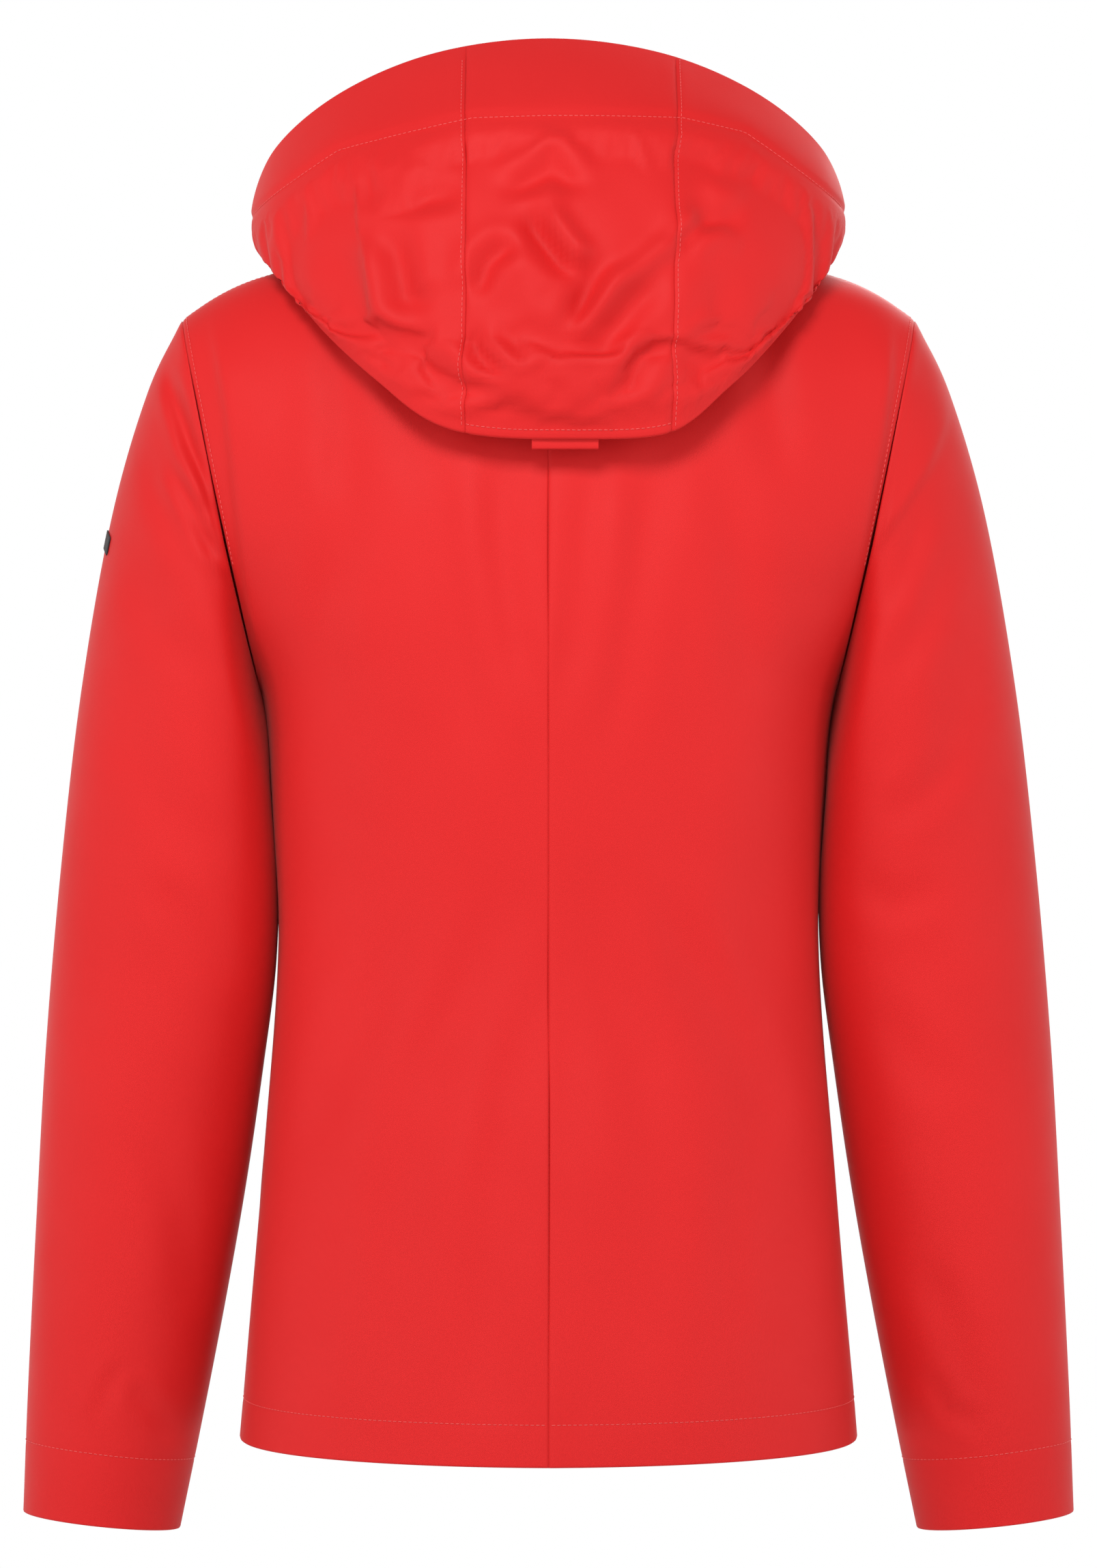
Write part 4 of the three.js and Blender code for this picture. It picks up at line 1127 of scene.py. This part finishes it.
# ---------- hood ----------
HOOD_FOLDS = [
    valley([(30, 36), (-2, 52), (-24, 38)], 3.0, 7),
    ridge([(32, 46), (0, 62), (-30, 48)], 2.0, 7),
    valley([(18, 34), (4, 14), (-13, -6), (-18, -18)], 4.2, 6.5),
    ridge([(2, 32), (-8, 12), (-20, -4)], 2.8, 6),
    valley([(42, -22), (34, 0), (16, 14)], 3.4, 6),
    valley([(-14, -38), (-24, -6), (-33, 10)], 3.4, 6.5),
    ridge([(-10, -46), (-37.8, -14), (-53.4, 0), (-75, 20)], 2.8, 6, 0.2),
    valley([(-22, -52), (-46, -26), (-64, -8)], 2.6, 7),
    valley([(-38, -82), (-51, -54), (-68, -40)], 3.2, 6),
    valley([(46, -34), (37, -49), (26, -66)], 3.2, 5.5),
    ridge([(36, -36), (26, -50), (14, -66)], 2.0, 5),
    valley([(-6, -42), (-26, -47), (-46, -50)], 1.6, 4),
    valley([(110, 44), (80, 36), (44, 38)], 2.6, 7, 0.5, 0.2),
    valley([(88, 24), (78, -16), (58, -28)], 3.0, 7.5),
    ridge([(100, 20), (90, -24), (62, -42)], 2.2, 8),
    valley([(85, 2), (74, -40), (58, -84)], 1.8, 7),
    valley([(-76, 40), (-92, 26), (-112, 24)], 2.4, 7),
    valley([(-70, 6), (-84, 20), (-96, 30)], 2.2, 5),
    valley([(-100, 4), (-92, -34), (-76, -70)], 1.6, 10),
    valley([(126, 20), (112, -12), (88, -44)], 1.2, 10),
    ridge([(22, 10), (6, -24), (-14, -40)], 2.4, 9),
    valley([(8, -52), (-2, -72), (-4, -86)], 1.4, 7),
]
BRIM_LINE = [(-170, 30), (-160.9, 37), (-107.7, 72.5), (-73.2, 79), (0, 79), (42, 78), (115.3, 62.5), (149.9, 41), (170, 28)]


def hood_columns():
    marks, lengths = (-1, *HOOD_SEAMS, 1), (370, 110, 400)
    spans = [lerp(marks[k], marks[k + 1], shares(lengths[k], 3.0)) for k in range(3)]
    ts = np.concatenate([spans[0], spans[1][1:], spans[2][1:]])
    joints = (len(spans[0]) - 1, len(spans[0]) + len(spans[1]) - 2)
    return ts, joints


def relaxed(grid, held):
    """Lets the cloth settle: a sheet a little too big for its seams buckles between them."""
    rows, columns = grid.shape[:2]
    obj = object_of("hood_settling", grid.reshape(-1, 3), grid_faces(rows, columns).tolist(), SHELL)
    group = obj.vertex_groups.new(name="held")
    for level in range(21):
        chosen = np.nonzero(np.round(held.ravel() * 20) == level)[0]
        if len(chosen):
            group.add(chosen.tolist(), level / 20, "REPLACE")
    sim = obj.modifiers.new("cloth", "CLOTH")
    sim.settings.vertex_group_mass = "held"
    sim.settings.quality = 5
    sim.settings.mass = 0.1
    sim.settings.tension_stiffness = 12
    sim.settings.compression_stiffness = 12
    sim.settings.shear_stiffness = 4
    sim.settings.bending_stiffness = 0.4
    sim.settings.shrink_min = -0.018
    sim.settings.effector_weights.gravity = 0.15
    sim.settings.air_damping = 3
    sim.collision_settings.use_collision = False
    sim.point_cache.frame_start, sim.point_cache.frame_end = 1, SETTLING_FRAMES
    scene = bpy.context.scene
    for number in range(1, SETTLING_FRAMES + 1):
        scene.frame_set(number)
    graph = bpy.context.evaluated_depsgraph_get()
    mesh = obj.evaluated_get(graph).to_mesh()
    moved = np.empty(rows * columns * 3)
    mesh.vertices.foreach_get("co", moved)
    moved = moved.reshape(grid.shape) / MM + SEAT
    scene.frame_set(1)
    bpy.data.objects.remove(obj)
    shift = moved - grid
    size = np.linalg.norm(shift, axis=-1, keepdims=True)
    return grid + shift * np.minimum(1, SETTLING_CAP / np.maximum(size, 1e-6))


SETTLING_FRAMES = 22
SETTLING_CAP = 6.0


def make_hood():
    ts, joints = hood_columns()
    ss = shares(235)
    flat = hood_at(ts[None, :], ss[:, None])
    core = np.array([0, 15, 0])
    normals = normals_of(flat, core)
    x, z = flat[..., 0], flat[..., 2]
    facing = smooth((normals[..., 1] - 0.12) / 0.4)
    brim = np.interp(x, *zip(*BRIM_LINE))
    below = smooth((brim - z - 2) / 14)
    bottom = smooth((run(flat, 0)[-1:] - run(flat, 0)) / 14)
    fronts = smooth((0.98 - np.abs(ts)) / 0.2)[None, :]
    offset = 1.35 * sum(f(x, z) for f in HOOD_FOLDS) * facing * below * lerp(bottom, 1, 0.35)
    offset += drape(x * 1.4, z * 3, 1.6, 71) * fronts * below * bottom
    offset += 0.8 * smooth((z - brim) / 4) * np.exp(-(((z - brim - 6) / 12) ** 2))
    grid = flat + offset[..., None] * normals
    held = 1 - below * bottom * smooth((0.72 - np.abs(ts)) / 0.25)[None, :]
    grid = relaxed(grid, np.clip(held, 0.0, 1.0))
    seam = np.zeros_like(offset)
    over = run(flat, 1)
    for joint in joints:
        away = np.abs(over - over[:, joint : joint + 1])
        seam += seam_dip(away, 0.7, 1.0)
    across = run(flat, 0)
    seam *= smooth(across / 14)
    seam += stitch_dip(z - brim, 0.5, 1.4) + stitch_dip(across[-1:] - across - 4, 0.4) * (np.abs(ts) < 0.16)
    grid = grid + seam[..., None] * normals
    final_normals = normals_of(grid, core)
    full = rolled(grid, final_normals, 1.3, 0)
    rim_rows = len(full) - len(grid)
    full = rolled(full, np.concatenate([final_normals[:1].repeat(rim_rows, axis=0), final_normals]), 1.5, -1)
    names = ("hood_side_right", "hood_centre", "hood_side_left")
    nodes = ("hood_side_panel_right", "hood_centre_panel", "hood_side_panel_left")
    edges = (0, *joints, len(ts) - 1)
    for k in range(3):
        part = full[:, edges[k] : edges[k + 1] + 1]
        obj = cloth(names[k], part, core, SHELL)
        declare(obj, part[rim_rows:], "hung", "hanger_loop")
        place_on(obj, "hood", "shell_fabric", nodes[k])
    hood_stitches(grid, final_normals, ts, joints, brim)
    rows = int(np.searchsorted(ss, 0.25))
    inner = (grid - 2.0 * final_normals)[1:rows, 3:-3]
    obj = cloth("hood_rim_facing_cloth", inner, core, LINING, FACING * 0.6)
    declare(obj, inner, "hung", "hood_centre")
    place_on(obj, "hood", "facing_fabric", "hood_rim_facing")
    make_under_panel(full[-1], ts)


def hood_stitches(grid, normals, ts, joints, brim):
    rows = np.arange(len(grid), dtype=float)
    for name, joint, aside in (("right", joints[0], -2.2), ("left", joints[1], 2.2)):
        over = run(grid, 1)
        columns = np.array([np.interp(over[j, joint] + aside, over[j], np.arange(len(ts))) for j in range(len(grid))])
        line, lift = sampled(grid, rows, columns), sampled(normals, rows, columns)
        keep = line[:, 2] < 117
        place_on(stitch_on(f"hood_seam_stitch_{name}", line, lift, keep, 1), "hood", "shell_fabric")
    columns = np.arange(len(ts), dtype=float)
    level = grid[..., 2] - brim
    crossing = np.array([np.interp(0, -level[:60, i], np.arange(60)) for i in range(len(ts))])
    line, lift = sampled(grid, crossing, columns), sampled(normals, crossing, columns)
    keep = np.abs(ts) < 0.46
    place_on(stitch_on("hood_brim_stitch", line, lift, keep, 1), "hood", "shell_fabric")
    line, lift = line_on(grid, normals, 0, 4, from_end=True)
    keep = (ts > HOOD_SEAMS[0] - 0.004) & (ts < HOOD_SEAMS[1] + 0.004)
    place_on(stitch_on("hood_hem_stitch", line, lift, keep, 1), "hood", "shell_fabric")


def bend_across(inner, outer):
    """Start and end of a bend that leaves one edge where it is and carries the other one whole."""
    points = np.concatenate([inner, outer])
    centre = points.mean(axis=0)
    share = np.repeat([0.0, 1.0], [len(inner), len(outer)])
    spread = np.linalg.norm(points - centre, axis=1).mean()
    terms = np.column_stack([(points - centre) / spread, np.ones(len(points))])
    *slope, level = np.linalg.lstsq(terms, share, rcond=FLATTEST_GORE)[0]
    reach = np.array(slope) * spread / np.dot(slope, slope)
    start = centre - level * reach
    return start, start + reach


def make_under_panel(fold_line, ts):
    """The underside, from the neck seam out to the hood's fold, in gores that stay where they are made."""
    marks = np.linspace(-UNDER_END, UNDER_END, GORES + 1)
    for k in range(GORES):
        t = np.linspace(marks[k], marks[k + 1], 8)
        outer = np.stack([np.interp(t, ts, fold_line[:, a]) for a in range(3)], axis=-1)
        inner = neck_seam(t)
        s = np.linspace(0, 1, 26)[:, None, None]
        grid = lerp(inner[None], outer[None], s)
        grid[..., 2] -= 3 * np.sin(math.pi * s[..., 0]) * smooth((0.75 - np.abs(t)) / 0.3)[None, :]
        obj = cloth(f"hood_under_gore_{k + 1}", grid, (0, 0, 300), SHELL, 0.6)
        declare(obj, grid, "hung", "hood_centre")
        line = bend_across(inner, outer)
        nodes = ("hood_under_panel",) if k == 0 else ()
        place_between(obj, ("torso", "hood"), line, "shell_fabric", *nodes)


def make_loop_tab():
    """A short loop of cloth under the hood's bottom edge, open at both ends."""
    turns = np.linspace(0, 2 * math.pi, 33)
    y = 127 + 1.9 * np.sign(np.cos(turns)) * np.abs(np.cos(turns)) ** 0.6
    z = -99.75 + 4.1 * np.sign(np.sin(turns)) * np.abs(np.sin(turns)) ** 0.6
    xs = lerp(-27, 9, shares(36, 3))
    grid = point(xs[:, None], y[None, :], z[None, :])
    obj = cloth("hood_loop_tab_cloth", grid, (-9, 127, -99.75), SHELL, 0.8, around=True)
    declare(obj, grid, "hung", "hood_centre")
    place_on(obj, "hood", "shell_fabric", "hood_loop_tab")


# ---------- pieces carried over from the CAD ----------
CARRIED = {
    TAPE: ["zip_tape_left", "zip_tape_right", "pocket_zip_tape_left", "pocket_zip_tape_right"],
    METAL: ["zip_slider", "pocket_slider_left", "pocket_slider_right", "zip_top_stop_left", "zip_top_stop_right"],
    PLASTIC: ["zip_bottom_box", "zip_pin", "hem_lock_left", "hem_lock_right",
              "hem_lock_button_left", "hem_lock_button_right"],
    PULL: ["zip_pull", "pocket_pull_left", "pocket_pull_right"],
}

grids = {}
for side in SIDES:
    grids["back", side] = make_back(side)
    grids["front", side] = make_front(side)
    make_pouch(side)
make_hem_facing(grids)
make_zips()
make_flaps()
make_collar()
make_hanger_loop()
for side in SIDES:
    sleeve_made = make_sleeve(side)
    make_cuff_parts(side, sleeve_made)
    if side == "left":
        make_sleeve_patch(sleeve_made)
make_hood()
make_loop_tab()
for used, names in CARRIED.items():
    for name in names:
        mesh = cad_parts[name].data
        mesh.materials.clear()
        mesh.materials.append(used)


# ---------- camera, light and floor ----------
VIEW_DISTANCE = 4.0
VIEW_HEIGHT = 0.8725  # of the picture, at the jacket's middle plane
VIEW_CENTRE = Vector((0, -0.056, -0.2962))
FLOOR_Z = -0.80
# Brightness of the studio's walls, by height: 0 is straight down, 0.5 level and 1 straight up.
WALLS = ((0.1, 0.4), (0.24, 1.0), (0.66, 1.0), (0.8, 0.25))
FLOOR = material("studio_floor", (0.8, 0.8, 0.8), (0.82, 0.82, 0.82), 0.7, 5, (60, 0.1, 0.1), specular=0.2)


def light(name, location, target, size, power, colour=(1, 1, 1)):
    data = bpy.data.lights.new(name, "AREA")
    data.shape = "RECTANGLE"
    data.size, data.size_y = size
    data.energy = power
    data.color = colour
    obj = bpy.data.objects.new(name, data)
    obj.location = location
    obj.rotation_euler = (Vector(target) - Vector(location)).to_track_quat("-Z", "Y").to_euler()
    bpy.context.collection.objects.link(obj)


def studio():
    scene = bpy.context.scene
    scene.view_settings.view_transform = "Standard"
    world = bpy.data.worlds.new("studio")
    world.use_nodes = True
    tree = world.node_tree
    background = tree.nodes["Background"]
    background.inputs["Color"].default_value = (1, 1, 1, 1)
    direction = tree.nodes.new("ShaderNodeTexCoord")
    split = tree.nodes.new("ShaderNodeSeparateXYZ")
    wire(tree, direction.outputs["Generated"], split.inputs[0])
    band = tree.nodes.new("ShaderNodeValToRGB")
    stops = band.color_ramp.elements
    for _ in WALLS[2:]:
        stops.new(0.5)
    for stop, (position, value) in zip(stops, WALLS):
        stop.position = position
        stop.color = (value, value, value, 1)
    height = maths(tree, "MULTIPLY_ADD", split.outputs["Z"], 0.5)
    height.node.inputs[2].default_value = 0.5
    wire(tree, height, band.inputs[0])
    wire(tree, band.outputs[0], background.inputs["Strength"])
    scene.world = world
    light("key", (0.45, 2.4, 1.65), VIEW_CENTRE, (1.1, 0.9), 54)
    light("fill", (-0.6, -2.6, 1.2), VIEW_CENTRE, (1.6, 1.6), 45)
    light("strip_left", (2.4, 1.3, 0.0), VIEW_CENTRE, (0.7, 2.2), 9)
    light("strip_right", (-2.4, 1.3, 0.0), VIEW_CENTRE, (0.7, 2.2), 9)
    bpy.ops.mesh.primitive_cylinder_add(vertices=96, radius=0.6, depth=0.01, location=(0, -0.06, FLOOR_Z - 0.005))
    floor = bpy.context.object
    floor.name = "floor"
    floor.data.materials.append(FLOOR)
    camera = bpy.data.cameras.new("camera")
    camera.lens = camera.sensor_width * VIEW_DISTANCE / VIEW_HEIGHT
    eye = bpy.data.objects.new("camera", camera)
    eye.location = VIEW_CENTRE + Vector((0, VIEW_DISTANCE, 0))
    eye.rotation_euler = (math.pi / 2, 0, math.pi)
    bpy.context.collection.objects.link(eye)
    scene.camera = eye


studio()
